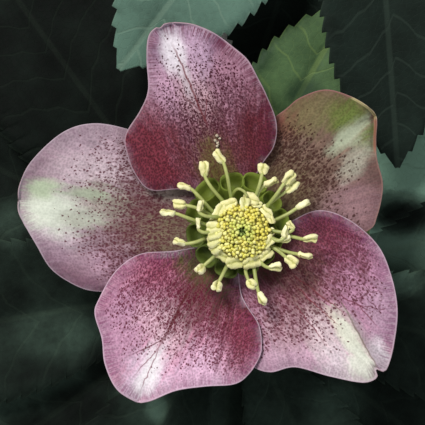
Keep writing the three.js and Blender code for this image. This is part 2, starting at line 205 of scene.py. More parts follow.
def outlineThrough(points, count):  # a smooth outline, its knots evenly weighted
    points = np.array(points, float)
    last = len(points) - 1
    t = np.linspace(0, last, 1600)
    k = np.minimum(t.astype(int), last - 1)
    w = (t - k)[:, None]
    a, b, c, d = points[np.maximum(k - 1, 0)], points[k], points[k + 1], points[np.minimum(k + 2, last)]
    v, z = (c - a) / 2, (d - b) / 2
    return evenly((2 * b - 2 * c + v + z) * w**3 + (3 * c - 3 * b - 2 * v - z) * w**2 + v * w + b, count)


def pathThrough(points, count):  # a smooth path in space whose bends stay near its knots
    knots = np.array(points, float)
    knots = np.vstack([2 * knots[0] - knots[1], knots, 2 * knots[-1] - knots[-2]])
    pieces = []
    for a, b, c, d in zip(knots, knots[1:], knots[2:], knots[3:]):
        p, q, r = (np.linalg.norm(y - x) ** 0.5 for x, y in ((a, b), (b, c), (c, d)))
        v = q * ((b - a) / p - (c - a) / (p + q) + (c - b) / q)
        z = q * ((c - b) / q - (d - b) / (q + r) + (d - c) / r)
        w = np.linspace(0, 1, 60)[:, None]
        pieces.append((2 * b - 2 * c + v + z) * w**3 + (3 * c - 3 * b - 2 * v - z) * w**2 + v * w + b)
    return evenly(np.vstack(pieces), count)


def addMesh(name, points, faces, material=None, attributes=None, edges=()):
    mesh = bpy.data.meshes.new(name)
    inFrame = (np.asarray(points, float) + (bloomAxis.x, bloomAxis.y, 0)) / perMetre
    mesh.from_pydata(inFrame.tolist(), edges, faces)
    for key, values in (attributes or {}).items():
        values = np.asarray(values, np.float32)
        kind, field = ("FLOAT", "value") if values.ndim == 1 else ("FLOAT_VECTOR", "vector")
        mesh.attributes.new(key, kind, "POINT").data.foreach_set(field, values.ravel())
    if faces:
        mesh.polygons.foreach_set("use_smooth", [True] * len(mesh.polygons))
    if material:
        mesh.materials.append(material)
    piece = bpy.data.objects.new(name, mesh)
    bpy.context.scene.collection.objects.link(piece)
    return piece


def thicken(points, faces, thickness):  # an open sheet and its under face, closed round the edge
    points = np.asarray(points, float)
    normals = np.zeros_like(points)
    for face in faces:
        a, b, c = (points[face[k]] for k in (0, 1, -1))
        normals[list(face)] += np.cross(b - a, c - a)
    normals /= np.maximum(np.linalg.norm(normals, axis=1), 1e-9)[:, None]
    count = len(points)
    under = points - normals * np.asarray(thickness)[..., None]
    edges = {(face[k - 1], face[k]) for face in faces for k in range(len(face))}
    closed = list(faces) + [tuple(count + k for k in reversed(face)) for face in faces]
    closed += [(b, a, count + a, count + b) for a, b in sorted(edges) if (b, a) not in edges]
    return np.vstack([points, under]), closed


def sheetFaces(rows, columns):  # a grid of rows that ends in one point
    starts = [i * columns + j for i in range(rows) for j in range(columns - 1)]
    last = (rows - 1) * columns
    faces = [(a, a + columns, a + columns + 1, a + 1) for a in starts if a < last]
    return faces + [(a, rows * columns, a + 1) for a in starts if a >= last]


def ringFaces(rings, sides, start=0):  # rings of points, each joined to the next
    steps = [(i * sides + start, j, (j + 1) % sides) for i in range(rings - 1) for j in range(sides)]
    return [(a + j, a + k, a + k + sides, a + j + sides) for a, j, k in steps]


def poleFaces(rings, sides):  # rings between a first and a last point
    last = 1 + (rings - 1) * sides
    steps = [(j, (j + 1) % sides) for j in range(sides)]
    first = [(0, 1 + k, 1 + j) for j, k in steps]
    return first + ringFaces(rings, sides, 1) + [(last + j, last + k, last + sides) for j, k in steps]


def keep(piece, node):
    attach(piece, "root")
    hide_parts(node)


def newTree(name, inputs):  # a geometry tree with named inputs for its sizes
    tree = bpy.data.node_groups.new(name, "GeometryNodeTree")
    tree.interface.new_socket("Geometry", in_out="OUTPUT", socket_type="NodeSocketGeometry")
    for label, kind in {"Geometry": "Geometry", **inputs, "Finish": "Material"}.items():
        tree.interface.new_socket(label, in_out="INPUT", socket_type="NodeSocket" + kind)
    graph = Graph(tree)
    entry = tree.nodes.new("NodeGroupInput")
    return graph, {socket.name: Wire(graph, socket) for socket in entry.outputs if socket.name}


def finishTree(graph, geometry, finish, crumple=None):
    real = graph.node("GeometryNodeRealizeInstances", None, {"Geometry": geometry})
    if crumple is not None:  # dents about a millimetre wide
        sockets = {"Vector": graph.node("GeometryNodeInputPosition"), "Scale": 800.0}
        dent = graph.node("ShaderNodeTexNoise", None, sockets, out="Color")
        middle = graph.node("ShaderNodeVectorMath", {"operation": "SUBTRACT"}, [dent, (0.5, 0.5, 0.5)])
        shift = graph.node("ShaderNodeVectorMath", {"operation": "SCALE"}, {0: middle, "Scale": crumple})
        real = graph.node("GeometryNodeSetPosition", None, {"Geometry": real, "Offset": shift})
    smooth = graph.node("GeometryNodeSetShadeSmooth", None, {"Geometry": real})
    painted = graph.node("GeometryNodeSetMaterial", None, {"Geometry": smooth, "Material": finish})
    graph.node("NodeGroupOutput", None, {0: painted})
    return graph.tree


def grow(name, tree, host, **values):  # runs a tree on a mesh and keeps the result as plain mesh
    modifier = host.modifiers.new("grow", "NODES")
    modifier.node_group = tree
    known = {item.name: item.identifier for item in tree.interface.items_tree if item.in_out == "INPUT"}
    for label, value in values.items():
        modifier[known[label]] = value
    evaluated = host.evaluated_get(bpy.context.evaluated_depsgraph_get())
    mesh = bpy.data.meshes.new_from_object(evaluated)
    bpy.data.objects.remove(host)
    mesh.name = name
    piece = bpy.data.objects.new(name, mesh)
    bpy.context.scene.collection.objects.link(piece)
    return piece


# A round bar along every polyline of a mesh; the polylines hold their own radius as "girth".
def tubeTree():
    graph, inputs = newTree("barAlongPath", {"Sides": "Int"})
    girth = graph.node("GeometryNodeInputNamedAttribute", {"data_type": "FLOAT"}, {"Name": "girth"})
    curve = graph.node("GeometryNodeMeshToCurve", None, {"Mesh": inputs["Geometry"]})
    sockets = {"Resolution": inputs["Sides"], "Radius": 1.0}
    ring = graph.node("GeometryNodeCurvePrimitiveCircle", None, sockets)
    sockets = {"Curve": curve, "Profile Curve": ring, "Scale": girth, "Fill Caps": True}
    bar = graph.node("GeometryNodeCurveToMesh", None, sockets)
    return finishTree(graph, bar, inputs["Finish"])


def withMood(graph, instances, seed):  # a random number for each instance, which its colour reads
    mood = graph.node("FunctionNodeRandomValue", {"data_type": "FLOAT"}, {"Seed": seed}, out=1)
    settings = {"data_type": "FLOAT", "domain": "INSTANCE"}
    sockets = {"Geometry": instances, "Name": "mood", "Value": mood}
    return graph.node("GeometryNodeStoreNamedAttribute", settings, sockets)


tubes = tubeTree()


def addTubes(name, paths, sides, material):  # paths: lists of (points, radii) in millimetres
    points, girth, stem, edges = [], [], [], []
    for line, radii in paths:
        start = len(points)
        points += list(line)
        girth += list(np.asarray(radii) / perMetre)
        stem += list(np.linspace(0, 1, len(line)))
        edges += [(start + k, start + k + 1) for k in range(len(line) - 1)]
    host = addMesh(name + "Paths", points, [], None, {"girth": girth, "stem": stem}, edges)
    return grow(name, tubes, host, Sides=sides, Finish=material)


def tapered(line, first, last):  # radii along a path
    return first + (last - first) * np.linspace(0, 1, len(line))


# The camera, the light and the floor.
view = {
    "centre": (-5.4, 3.0),  # where the lens looks, from the bloom's axis
    "planeHeight": 34,  # the height at which the width below holds
    "width": 82.9,
    "lens": 250,
    "sensor": 36,
}


def addCamera():
    data = bpy.data.cameras.new("camera")
    data.lens, data.sensor_width = view["lens"], view["sensor"]
    data.clip_start, data.clip_end = 0.01, 20
    distance = view["width"] * view["lens"] / view["sensor"]
    camera = bpy.data.objects.new("camera", data)
    camera.location = (
        (bloomAxis.x + view["centre"][0]) / perMetre,
        (bloomAxis.y + view["centre"][1]) / perMetre,
        (view["planeHeight"] + distance) / perMetre,
    )
    bpy.context.scene.collection.objects.link(camera)
    bpy.context.scene.camera = camera


studio = {
    # name: place in metres from the bloom, width of the lamp, power, colour
    "keyLight": ((-0.30, 0.40, 0.62), 0.30, 6.6, (1.0, 0.98, 0.95)),
    "fillLight": ((0.55, -0.35, 0.50), 0.60, 1.8, (0.92, 0.96, 1.0)),
    "aim": 0.03,  # height that the lamps point at
    "worldColor": (0.95, 0.97, 1, 1),
    "worldStrength": 0.24,
    "floorSize": 3.0,
    "floorHeight": -0.05,  # millimetres, just clear of the plant
    "floorColor": tone(214, 213, 209),
}


def addLights():
    middle = Vector((bloomAxis.x / perMetre, bloomAxis.y / perMetre, studio["aim"]))
    for name in ("keyLight", "fillLight"):
        place, width, power, color = studio[name]
        data = bpy.data.lights.new(name, "AREA")
        data.shape, data.size, data.energy, data.color = "DISK", width, power, color
        lamp = bpy.data.objects.new(name, data)
        lamp.location = middle + Vector(place)
        lamp.rotation_euler = (-Vector(place)).to_track_quat("-Z", "Y").to_euler()
        bpy.context.scene.collection.objects.link(lamp)
    world = bpy.data.worlds.new("studioWorld")
    world.use_nodes = True
    background = world.node_tree.nodes["Background"].inputs
    background["Color"].default_value = studio["worldColor"]
    background["Strength"].default_value = studio["worldStrength"]
    bpy.context.scene.world = world
    bpy.context.scene.view_settings.view_transform = "Standard"


def addFloor():
    half = studio["floorSize"] / 2 * perMetre
    square = ((-half, -half), (half, -half), (half, half), (-half, half))
    corners = [(x, y, studio["floorHeight"]) for x, y in square]
    material, graph = newMaterial("floorPaint")
    grain = graph.noise(graph.place(), 900, 3)
    color = graph.mix(grain.fade(0.2, 0.8), studio["floorColor"], tone(220, 219, 215))
    finishMaterial(graph, color, 0.75)
    addMesh("floor", corners, [(0, 1, 2, 3)], material)


addCamera()
addLights()
addFloor()
print("camera, light and floor")

# The five sepals.
bowl = {
    "base": 22,  # height of the sepals' foot
    "depth": 13,
    "reach": 47,  # distance at which the bowl levels out
    "step": 1.25,  # from one layer of sepals to the next
    "foot": (5, 2.4),
}
sepalMesh = {
    "rows": 96,
    "halfColumns": 32,
    "crowding": 1.3,  # columns stand closer towards the margins
    "marginSteps": 700,
    "thickness": 0.55,
    "rimThickness": 0.2,
    "rimWidth": 1.8,
    # how much painted shade darkens each sepal towards its margin
    "marginPaintedShade": 0.24,
    "veinStart": 7,  # how far behind the foot the veins' fan starts
}

# Outlines run from foot to tip as (distance along the midrib, distance to the side), left and
# right as seen from above looking outwards. "dish" lifts the margins, "crease" sinks the middle
# towards the tip, and "notch" is (side, depth, width) of a cut in the tip. "curl" rolls a margin
# down: (from, to, depth, width), counted along the margin from the tip, left positive.
# Places are (along, side, length, width, turn, colour, cover). They are painted in this order:
# patches, lobes (dark shoulders), hearts (the foot, in its own colour and with painted shade near
# the nectaries) and pale (streaks). "bare" has no spots, and "net" has a web of veins.
# Fold shades and ribs follow lines: (start, end, side at the start, side at the end, width, colour).
# A fold shade is painted shade beside a crease, sharp at its line and fading off to the left of it over its
# width.
# Spots are full up to one distance and gone from another. Strokes are the dark marks square to
# the left and the right margin. Edging is (from, to, width, colour) along the margin.
plainSepal = {"notch": None, "curl": None, "bare": [], "edging": [], "fold": [], "ribs": [], "net": None}
sepals = {
    "topSepal": {
        "node": "sepal_top", "layer": 2, "bearing": 108.3, "tip": 42.0,
        "left": [(10.4, 7.8), (12.5, 14.3), (16.2, 16.2), (20.5, 16.5), (24.2, 15.6), (27.9, 11.3),
                 (31.2, 8.6), (36.8, 7.0), (40.9, 5.2), (42.1, 2.7)],
        "right": [(10.3, 7.9), (13.2, 11.5), (17.4, 13.3), (22.8, 13.1), (26.7, 12.5), (30.6, 11.7),
                  (33.8, 9.8), (37.5, 7.1), (40.3, 3.8)],
        "tipLift": -1.5, "dish": 1.0, "crease": 0, "groove": 0.15,
        "notch": (2.5, 0.5, 0.45), "ripple": 0.3,
        "ground": (168, 124, 142), "rim": (196, 172, 186), "striation": (96, 36, 60),
        "strokes": (0.7, 0.95), "grain": 1.0, "veil": 0.2,
        "patches": [
            (36.0, 0.5, 9.0, 9.0, 0, (144, 116, 142), 0.9),
            (30.5, 6.0, 7.0, 3.8, 10, (200, 160, 184), 0.85),
            (30.0, -8.5, 9.0, 4.5, -14, (172, 128, 148), 0.85),
            (28.0, 0.0, 9.5, 3.6, 0, (206, 170, 178), 0.75),
            (35.5, -2.6, 7.0, 4.0, -20, (188, 158, 182), 0.8),
            (37.0, -7.6, 4.0, 2.0, -35, (112, 80, 104), 0.8),
        ],
        "hearts": [(14.8, 0.4, 8.8, 7.0, 0, (108, 62, 62), 0.7),
                   (11.0, 0.8, 8.0, 3.8, 0, (106, 102, 52), 0.88)],
        "pale": [(31.5, 0.9, 5.5, 1.2, 0, (196, 178, 186)), (36.6, 1.7, 4.5, 2.9, -4, (228, 220, 228))],
        "lobes": [(19.0, 12.3, 12.5, 8.5, 12, (112, 32, 44)), (14.0, -9.8, 11.8, 9.4, -12, (84, 18, 24))],
        "spots": {"full": 21, "end": 43, "color": (62, 8, 24), "cloud": (108, 36, 56),
                  "scale": 1.3, "cover": 0.95, "spread": 1.0, "smooth": 0.6},
        "ribs": [(21.5, 38.5, -0.2, 1.3, 0.15, (108, 44, 50)), (24.5, 28.5, 0.3, 2.9, 0.08, (110, 40, 52)),
                 (22.5, 27.5, -0.2, -2.6, 0.08, (110, 40, 52))],
    },
    "upperRightSepal": {
        "node": "sepal_upper_right", "layer": 0, "bearing": 39.7, "tip": 34.4,
        "left": [(10.3, 9.8), (17.2, 12.2), (22.0, 12.2), (25.3, 12.1), (29.9, 10.2), (32.7, 6.2),
                 (34.2, 2.0)],
        "right": [(10.3, 9.8), (15.0, 15.0), (19.6, 16.6), (22.1, 15.5), (25.0, 13.3), (27.2, 10.8),
                  (29.0, 6.9), (31.5, 3.5), (33.4, 1.4)],
        "tipLift": 1.5, "dish": 1.2, "crease": 0.6, "groove": 0.35,
        "curl": (-8.5, 3.0, 1.3, 1.5), "ripple": 0.3,
        "ground": (128, 104, 92), "rim": (160, 122, 112), "striation": (112, 62, 66),
        "strokes": (0.2, 0.3), "grain": 0.85, "veil": 0.15,
        "bare": [(24.0, -11.5, 11.0, 5.0, -25), (29.0, 7.0, 7.5, 6.0, 0)],
        # the middle edging, on the crest of the rolled margin, is its pale edge with a painted highlight on
        # it
        "edging": [(-7.0, -0.4, 0.4, (142, 96, 80)), (-0.6, 6.0, 0.32, (190, 178, 130)),
                   (6.0, 24.0, 0.2, (140, 98, 92))],
        "patches": [
            (19.0, -12.0, 12.0, 7.5, 0, (142, 110, 116), 0.9),
            (27.5, -8.8, 5.0, 3.0, -40, (108, 84, 80), 0.85),
            (21.0, 11.3, 8.5, 4.4, -10, (138, 74, 68), 0.85),
            (26.0, 8.5, 7.5, 5.0, -20, (124, 116, 82), 0.9),
            (29.8, 4.0, 4.2, 3.6, 0, (104, 114, 60), 0.9),
            (31.4, 3.0, 3.6, 2.8, 0, (112, 128, 66), 0.85),
            (30.8, -2.8, 3.4, 3.0, 0, (106, 124, 62), 0.88),
            (26.0, -4.5, 5.4, 2.4, 12, (170, 168, 152), 0.82),
        ],
        "hearts": [(9.5, 0.0, 8.5, 8.0, 0, (104, 92, 62), 0.8)],
        "pale": [(27.8, 0.3, 5.4, 1.9, 3, (176, 184, 158))],
        "lobes": [(9.0, 9.0, 9.0, 5.0, 0, (104, 74, 64))],
        "spots": {"full": 18, "end": 28, "color": (60, 30, 27), "cloud": (84, 60, 52),
                  "scale": 0.9, "cover": 0.85, "spread": 0.95, "smooth": 0},
    },
    "lowerRightSepal": {
        "node": "sepal_lower_right", "layer": 1, "bearing": -46.6, "tip": 39.5,
        "left": [(6.0, 8.0), (8.2, 13.7), (13.6, 16.7), (20.9, 17.3), (27.0, 15.1), (32.6, 11.3),
                 (36.9, 6.2), (39.2, 2.2)],
        "right": [(5.8, 8.2), (8.6, 12.6), (13.2, 16.0), (17.8, 17.4), (21.8, 16.8), (24.7, 15.0),
                  (27.2, 10.9), (33.0, 7.2), (38.2, 3.2)],
        "tipLift": 0.5, "dish": 1.0, "crease": 1.4, "groove": 0.75,
        "notch": (0.3, 1.5, 0.55), "ripple": 0.35,
        "ground": (170, 120, 142), "rim": (196, 174, 190), "striation": (112, 56, 96),
        "strokes": (0.7, 0.3), "grain": 1.0, "veil": 0.3, "bare": [(28.5, -10.5, 11.0, 5.6, 22)],
        "patches": [
            (27.0, -10.0, 14.5, 8.4, 20, (186, 152, 172), 0.95),
            (24.0, 10.5, 13.5, 8.4, -20, (172, 126, 154), 0.9),
            (31.0, 8.5, 6.4, 4.0, -40, (172, 140, 162), 0.85),
            (26.5, -2.4, 7.5, 4.2, -10, (206, 188, 192), 0.8),
            (20.6, -7.0, 5.5, 4.4, 10, (162, 128, 138), 0.8),
            (34.5, -4.5, 6.5, 4.6, -8, (204, 190, 198), 0.9),
            (37.0, 2.6, 3.6, 2.2, -20, (218, 210, 216), 0.95),
        ],
        "hearts": [(12.2, 1.3, 10.6, 7.0, 0, (98, 64, 54), 0.86),
                   (9.0, -2.0, 4.0, 3.6, 0, (56, 44, 28), 0.8)],
        "pale": [(26.6, 0.8, 4.4, 1.0, -12, (206, 192, 184)), (31.0, 0.9, 7.0, 2.0, -15, (212, 214, 198)),
                 (36.2, -1.4, 4.4, 3.4, -12, (212, 214, 202))],
        "lobes": [(10.5, 12.0, 12.0, 10.5, 0, (100, 36, 52))],
        "fold": [(25.0, 39.6, 4.0, 0.4, 2.4, (152, 132, 142)), (32.0, 41.6, 2.4, 0.1, 4.0, (184, 172, 182))],
        "spots": {"full": 19, "end": 33.5, "color": (78, 12, 32), "cloud": (118, 48, 64),
                  "scale": 1.0, "cover": 0.92, "spread": 0.8, "smooth": 0.3},
        # the first rib is a painted shade line along the crease
        "ribs": [(24.5, 39.0, 4.4, 0.4, 0.12, (122, 108, 100)), (22.5, 30.5, 5.0, 7.6, 0.1, (96, 26, 48)),
                 (26.5, 31.8, 6.0, 10.2, 0.08, (96, 26, 48)), (27.5, 33.0, 6.4, 6.2, 0.08, (104, 34, 54)),
                 (15.0, 27.0, 1.4, 3.4, 0.1, (110, 40, 50)), (17.0, 28.0, 0.2, 0.8, 0.09, (118, 44, 52)),
                 (19.0, 28.5, -2.6, -3.6, 0.08, (110, 34, 52))],
        "net": (26.0, 9.5, 8.0, 4.5, 0),
    },
    "lowerLeftSepal": {
        "node": "sepal_lower_left", "layer": 2, "bearing": 239.7, "tip": 39.3,
        "left": [(10.6, 6.4), (12.5, 8.9), (14.5, 12.8), (17.5, 15.2), (19.9, 16.1), (23.8, 15.9),
                 (26.9, 14.4), (30.1, 9.7), (33.6, 5.2), (37.6, 2.0)],
        "right": [(10.4, 8.8), (14.4, 14.4), (19.7, 16.8), (26.0, 16.8), (28.8, 16.0), (32.2, 12.4),
                  (36.1, 9.4), (39.1, 4.9)],
        "tipLift": -0.8, "dish": 1.0, "crease": 0.5, "groove": 0.2, "ripple": 0.28,
        "ground": (194, 136, 160), "rim": (210, 186, 204), "striation": (124, 50, 96),
        "strokes": (0.5, 0.65), "grain": 1.0, "veil": 0.25, "bare": [(33.0, 6.5, 7.0, 3.0, -30)],
        "patches": [
            (29.0, -9.5, 12.0, 7.0, 10, (190, 146, 172), 0.9),
            (22.8, -6.0, 5.0, 3.6, 0, (216, 176, 192), 0.8),
            (30.0, 8.0, 10.0, 7.5, -15, (216, 178, 204), 0.9),
            (25.0, -1.4, 8.0, 3.8, 0, (220, 188, 200), 0.75),
            (34.6, -1.6, 7.0, 4.4, 0, (218, 194, 214), 0.85),
        ],
        "hearts": [(13.8, 0.8, 9.6, 7.8, 0, (82, 46, 40), 0.92),
                   (12.2, 3.0, 3.8, 2.5, 0, (40, 32, 20), 0.95),
                   (9.6, -3.0, 5.0, 6.6, 0, (74, 82, 38), 0.9),
                   (10.6, 8.6, 2.8, 3.2, 0, (70, 52, 44), 0.75),
                   # a pale haze along the margin near the foot: painted sheen
                   (11.6, -9.6, 3.4, 0.9, -54, (150, 138, 146), 0.6)],
        "pale": [(33.4, -1.2, 6.2, 2.3, 8, (236, 230, 234))],
        "lobes": [(15.0, 10.8, 10.8, 6.6, 14, (100, 20, 42)),
                  (13.0, -9.8, 8.6, 5.8, -12, (136, 70, 90))],
        "spots": {"full": 20, "end": 36.5, "color": (88, 12, 38), "cloud": (142, 50, 80),
                  "scale": 1.25, "cover": 0.9, "spread": 0.78, "smooth": 0.15},
        "ribs": [(16.0, 28.5, -2.5, -1.9, 0.2, (84, 26, 32)), (26.4, 33.0, -1.8, -6.6, 0.12, (92, 28, 42)),
                 (22.0, 26.0, -2.2, 0.6, 0.09, (100, 32, 46)),
                 (27.6, 36.0, -1.8, -3.4, 0.09, (150, 106, 118)),
                 (28.5, 38.0, -1.8, -0.6, 0.09, (150, 106, 118))],
    },
    "leftSepal": {
        "node": "sepal_left", "layer": 0, "bearing": 172.8, "tip": 43.4,
        "left": [(10.3, 8.8), (15.6, 12.9), (20.5, 15.0), (26.1, 15.9), (30.3, 15.3), (35.4, 12.7),
                 (38.9, 8.3), (42.8, 2.9)],
        "right": [(10.3, 9.2), (17.0, 14.5), (24.7, 16.5), (31.3, 16.6), (36.8, 14.0), (41.8, 7.9),
                  (43.5, 2.9)],
        "tipLift": 0.6, "dish": 0.8, "crease": 0, "groove": 0.15, "ripple": 0.3,
        "ground": (168, 142, 154), "rim": (190, 172, 186), "striation": (126, 84, 112),
        "strokes": (0.5, 0.3), "grain": 0.85, "veil": 0.15,
        "bare": [(31.0, 12.0, 7.0, 4.0, -30), (36.5, -11.0, 6.5, 3.6, 30), (14.0, -7.5, 5.0, 4.0, 0)],
        "patches": [
            (27.0, -12.5, 13.5, 7.0, 0, (192, 166, 178), 0.9),
            (29.5, -6.8, 9.0, 4.6, 0, (204, 184, 192), 0.88),
            (37.0, 4.8, 6.4, 4.0, -20, (206, 192, 198), 0.88),
            (35.0, 9.8, 5.5, 2.6, -34, (156, 128, 144), 0.85),
            (23.6, 11.6, 7.5, 4.6, 0, (190, 152, 172), 0.9),
            # the next two are painted shade along the lower margin, next to the lower left sepal
            (30.5, 14.4, 9.5, 3.2, -14, (122, 88, 102), 0.92),
            (29.6, 11.2, 4.2, 2.6, 0, (150, 120, 134), 0.6),
            (34.5, -13.4, 7.0, 3.0, 14, (166, 144, 156), 0.85),
            (17.5, 0.5, 12.5, 9.0, 0, (114, 82, 80), 0.85),
            (14.2, -7.2, 5.4, 4.2, 0, (196, 178, 170), 0.9),
            (27.5, -1.5, 6.5, 4.5, 0, (164, 160, 146), 0.7),
        ],
        "hearts": [(11.5, 3.4, 9.0, 5.6, 0, (134, 122, 96), 0.8)],
        "pale": [(37.0, 1.2, 7.5, 4.8, 0, (212, 218, 202)), (39.2, -2.8, 3.6, 2.2, 10, (180, 193, 164)),
                 (30.0, -2.9, 5.5, 1.2, 0, (166, 174, 152)), (30.5, 2.2, 5.0, 2.0, 4, (180, 182, 168))],
        "lobes": [(16.0, 11.5, 8.0, 4.0, 0, (116, 66, 84))],
        "spots": {"full": 19, "end": 39, "color": (90, 40, 50), "cloud": (116, 68, 72),
                  "scale": 1.05, "cover": 0.88, "spread": 0.88, "smooth": 0},
    },
}


def most(masks):  # the strongest of several masks
    whole = masks[0]
    for mask in masks[1:]:
        whole = whole.math("MAXIMUM", mask)
    return whole


def sepalSkin(name, spec, seed):
    material, graph = newMaterial(name + "Skin")
    along, side, rim = graph.parts(graph.stored("blade"))
    arc, under, _ = graph.parts(graph.stored("margin"))
    ahead = along + sepalMesh["veinStart"]
    reach = (ahead * ahead + side * side).math("SQRT")
    fan = side.math("ARCTAN2", ahead)

    def veined(stretch, spokes, shift=0, detail=2):  # noise drawn out along the fan of veins
        return graph.noise(graph.point(reach * stretch, fan * spokes, seed + shift), 1.0, detail, 0.6)

    streak = veined(0.16, 34, 0, 3)
    thread = veined(0.3, 80)
    blotch = graph.noise(graph.point(along, side, seed), 0.42, 3, 0.6)
    fray = streak + blotch + thread * 0.6 - 1.3

    def patch(cAlong, cSide, length, width, turn):  # 1 inside, frayed along the veins
        c, s = math.cos(math.radians(turn)), math.sin(math.radians(turn))
        x, y = along - cAlong, side - cSide
        across = ((x * c + y * s) / length) ** 2 + ((y * c - x * s) / width) ** 2
        return (across.math("SQRT") + fray * 0.8).fade(1.35, 0.35)

    def masksOf(key, covered=False):  # one for each place of a kind
        masks = [patch(*place[:5]) for place in spec[key]]
        return [mask * place[6] for mask, place in zip(masks, spec[key])] if covered else masks

    def painted(color, key, masks):
        for place, mask in zip(spec[key], masks):
            color = graph.mix(mask, color, tone(*place[5]))
        return color

    def off(start, end, first, last):  # distance to the left of a slanting line
        return side - (along - start) * ((last - first) / (end - start)) - first

    lobes, hearts, pale = masksOf("lobes"), masksOf("hearts", True), masksOf("pale")
    lobe, heart, calm = most(lobes), most(hearts), most(pale)
    core = most(hearts[1:]) if len(hearts) > 1 else 0
    color = graph.mix(streak.fade(0.3, 0.7), tone(*(0.88 * c for c in spec["ground"])), tone(*spec["ground"]))
    color = painted(color, "patches", masksOf("patches", True))
    color = painted(color, "lobes", [mask * 0.9 for mask in lobes])
    # the feet: their own colour, with painted shade near the nectaries
    color = painted(color, "hearts", hearts)
    color = painted(color, "pale", [mask * 0.96 for mask in pale])

    # painted shade beside a crease: sharp at the crease line, fading off to its left
    for start, end, first, last, width, paint in spec["fold"]:
        beyond = off(start, end, first, last)
        shade = beyond.fade(-0.12, 0.12) * (beyond + fray * 1.2).fade(width, width * 0.2)
        color = graph.mix(shade * along.fade(start, start + 4) * 0.75, color, tone(*paint))

    # how crowded the spots are: they thin out towards the margin and in pale places
    spots = spec["spots"]
    bare = most([patch(*zone) for zone in spec["bare"]]) if spec["bare"] else 0
    crowd = (along + fray * 8).fade(spots["end"], spots["full"]) * spots["spread"]
    crowd = crowd * (1 - calm * 0.42) * (1 - bare) * rim.fade(0.8, 4.0) * thread.fade(0.3, 0.6, 0.6, 1.1)
    crowd = crowd.math("MAXIMUM", lobe * rim.fade(0.3, 3.0) * 0.7)

    # light and dark fleck and cloud under the spots
    across = fan * (8 + reach * 0.62) + (blotch * 0.8 + thread * 0.25)
    fleck = graph.cells(graph.point(reach * 0.85, across, seed), 2.5)
    cloud = graph.noise(graph.point(reach * 0.7, across, seed), 1.3 * spots["scale"], 3, 0.7)
    fine = (fleck.fade(0.05, 0.75) - 0.5) * (lobe * 0.6 + 0.36) + (streak - 0.5) * 0.5 + (thread - 0.5) * 0.5
    coarse = (cloud - 0.5) * (crowd * 1.3 + 0.3) * (1 - lobe * 0.2)
    mottle = (fine * (1 - calm * 0.6) + coarse) * spec["grain"]
    color = graph.shaded(color, mottle + 1)
    dusk = cloud.fade(0.56, 0.44) * crowd * (1 - lobe * 0.8) * (1 - heart * 0.6)
    color = graph.mix(dusk * along.fade(16, 30, 0.7, 0.25), color, tone(*spots["cloud"]))
    fiber = veined(0.3, 58, 5).fade(0.5, 0.62)
    color = graph.mix(fiber * (1 - calm) * 0.14 * spec["grain"], color, tone(*spec["striation"]))

    # three sizes of spot in rows along the veins
    drops = []
    for scale, size, share, shift in ((1.15, 0.32, 0.55, 0), (1.7, 0.38, 0.8, 31), (2.4, 0.42, 0.8, 57)):
        cell = graph.cells(graph.point(reach * 0.7 + shift + thread * 0.5, across, 0), scale * spots["scale"])
        chance, bulk, depth = graph.parts(cell.of("Color"))
        drop = (cell / (crowd * 0.45 + bulk * 0.4 + 0.58)).fade(size, size * 0.5)
        drops.append(drop * (chance < crowd * share) * depth.fade(0, 0.5, 0.65, 1))
    mask = most(drops) * along.fade(8, 17, 0.55, 1) * (1 - lobe * spots["smooth"]) * (1 - core * 0.7)
    color = graph.mix(mask * spots["cover"], color, tone(*spots["color"]))

    # painted shade that darkens the sepal towards its margin, dark strokes square to the margin, then the
    # pale rim
    color = graph.shaded(color, 1 - rim.fade(3.0, 0.4) * sepalMesh["marginPaintedShade"])
    # a pale veil along the margin: the sepal's own paler edge, with painted sheen on it
    veil = rim.fade(1.6, 0.2) * blotch.fade(0.4, 0.6) * spec["veil"]
    color = graph.mix(veil, color, tone(*spec["rim"]))
    stroke = graph.noise(graph.point(arc * 4.2, rim * 0.16, seed), 1.0, 2, 0.6)
    faint = graph.noise(graph.point(arc * 0.25, seed, 0), 1.0, 2)
    band = (rim + stroke * 3).fade(6.0, 1.4) * rim.fade(0.1, 0.5) * stroke.fade(0.47, 0.57)
    band = band * faint.fade(0.3, 0.5, 0.5, 1)
    left, right = spec["strokes"]
    color = graph.mix(band * side.fade(-4, 4, right, left), color, tone(*spec["striation"]))
    for start, end, first, last, width, paint in spec["ribs"]:
        line = abs(off(start, end, first, last) + (blotch - 0.5) * 1.1).fade(width * 1.9, width * 0.5)
        line = line * along.fade(start - 1.5, start + 1) * along.fade(end + 0.8, end - 3.5)
        color = graph.mix(line * 0.8, color, tone(*paint))
    height = mask * 0.5 + streak * 0.7 + fleck * 0.3
    if spec["net"]:
        web = graph.cells(graph.point(reach * 0.3, fan * 13 + blotch * 1.6, seed), 1.1, "DISTANCE_TO_EDGE")
        veins = web.fade(0.1, 0.03) * streak.fade(0.35, 0.6) * patch(*spec["net"])
        color = graph.mix(veins * 0.8, color, tone(*spots["color"]))
    color = graph.mix(rim.fade(0.26, 0.08) * 0.55, color, tone(*spec["rim"]))
    for start, end, width, paint in spec["edging"]:
        window = arc.fade(start - 0.6, start + 0.6) * arc.fade(end + 0.6, end - 0.6)
        color = graph.mix(window * rim.fade(width * 1.3, width * 0.7) * 0.9, color, tone(*paint))
    back = graph.mix(streak.fade(0.35, 0.65), tone(142, 112, 112), tone(168, 140, 138))
    color = graph.mix(under * 0.7, color, back)
    finishMaterial(graph, color, blotch.fade(0.2, 0.8, 0.46, 0.6), height, 0.00012, 0.4,
                   Sheen_Weight=0.03, Sheen_Roughness=0.4, Specular_IOR_Level=0.14)
    return material


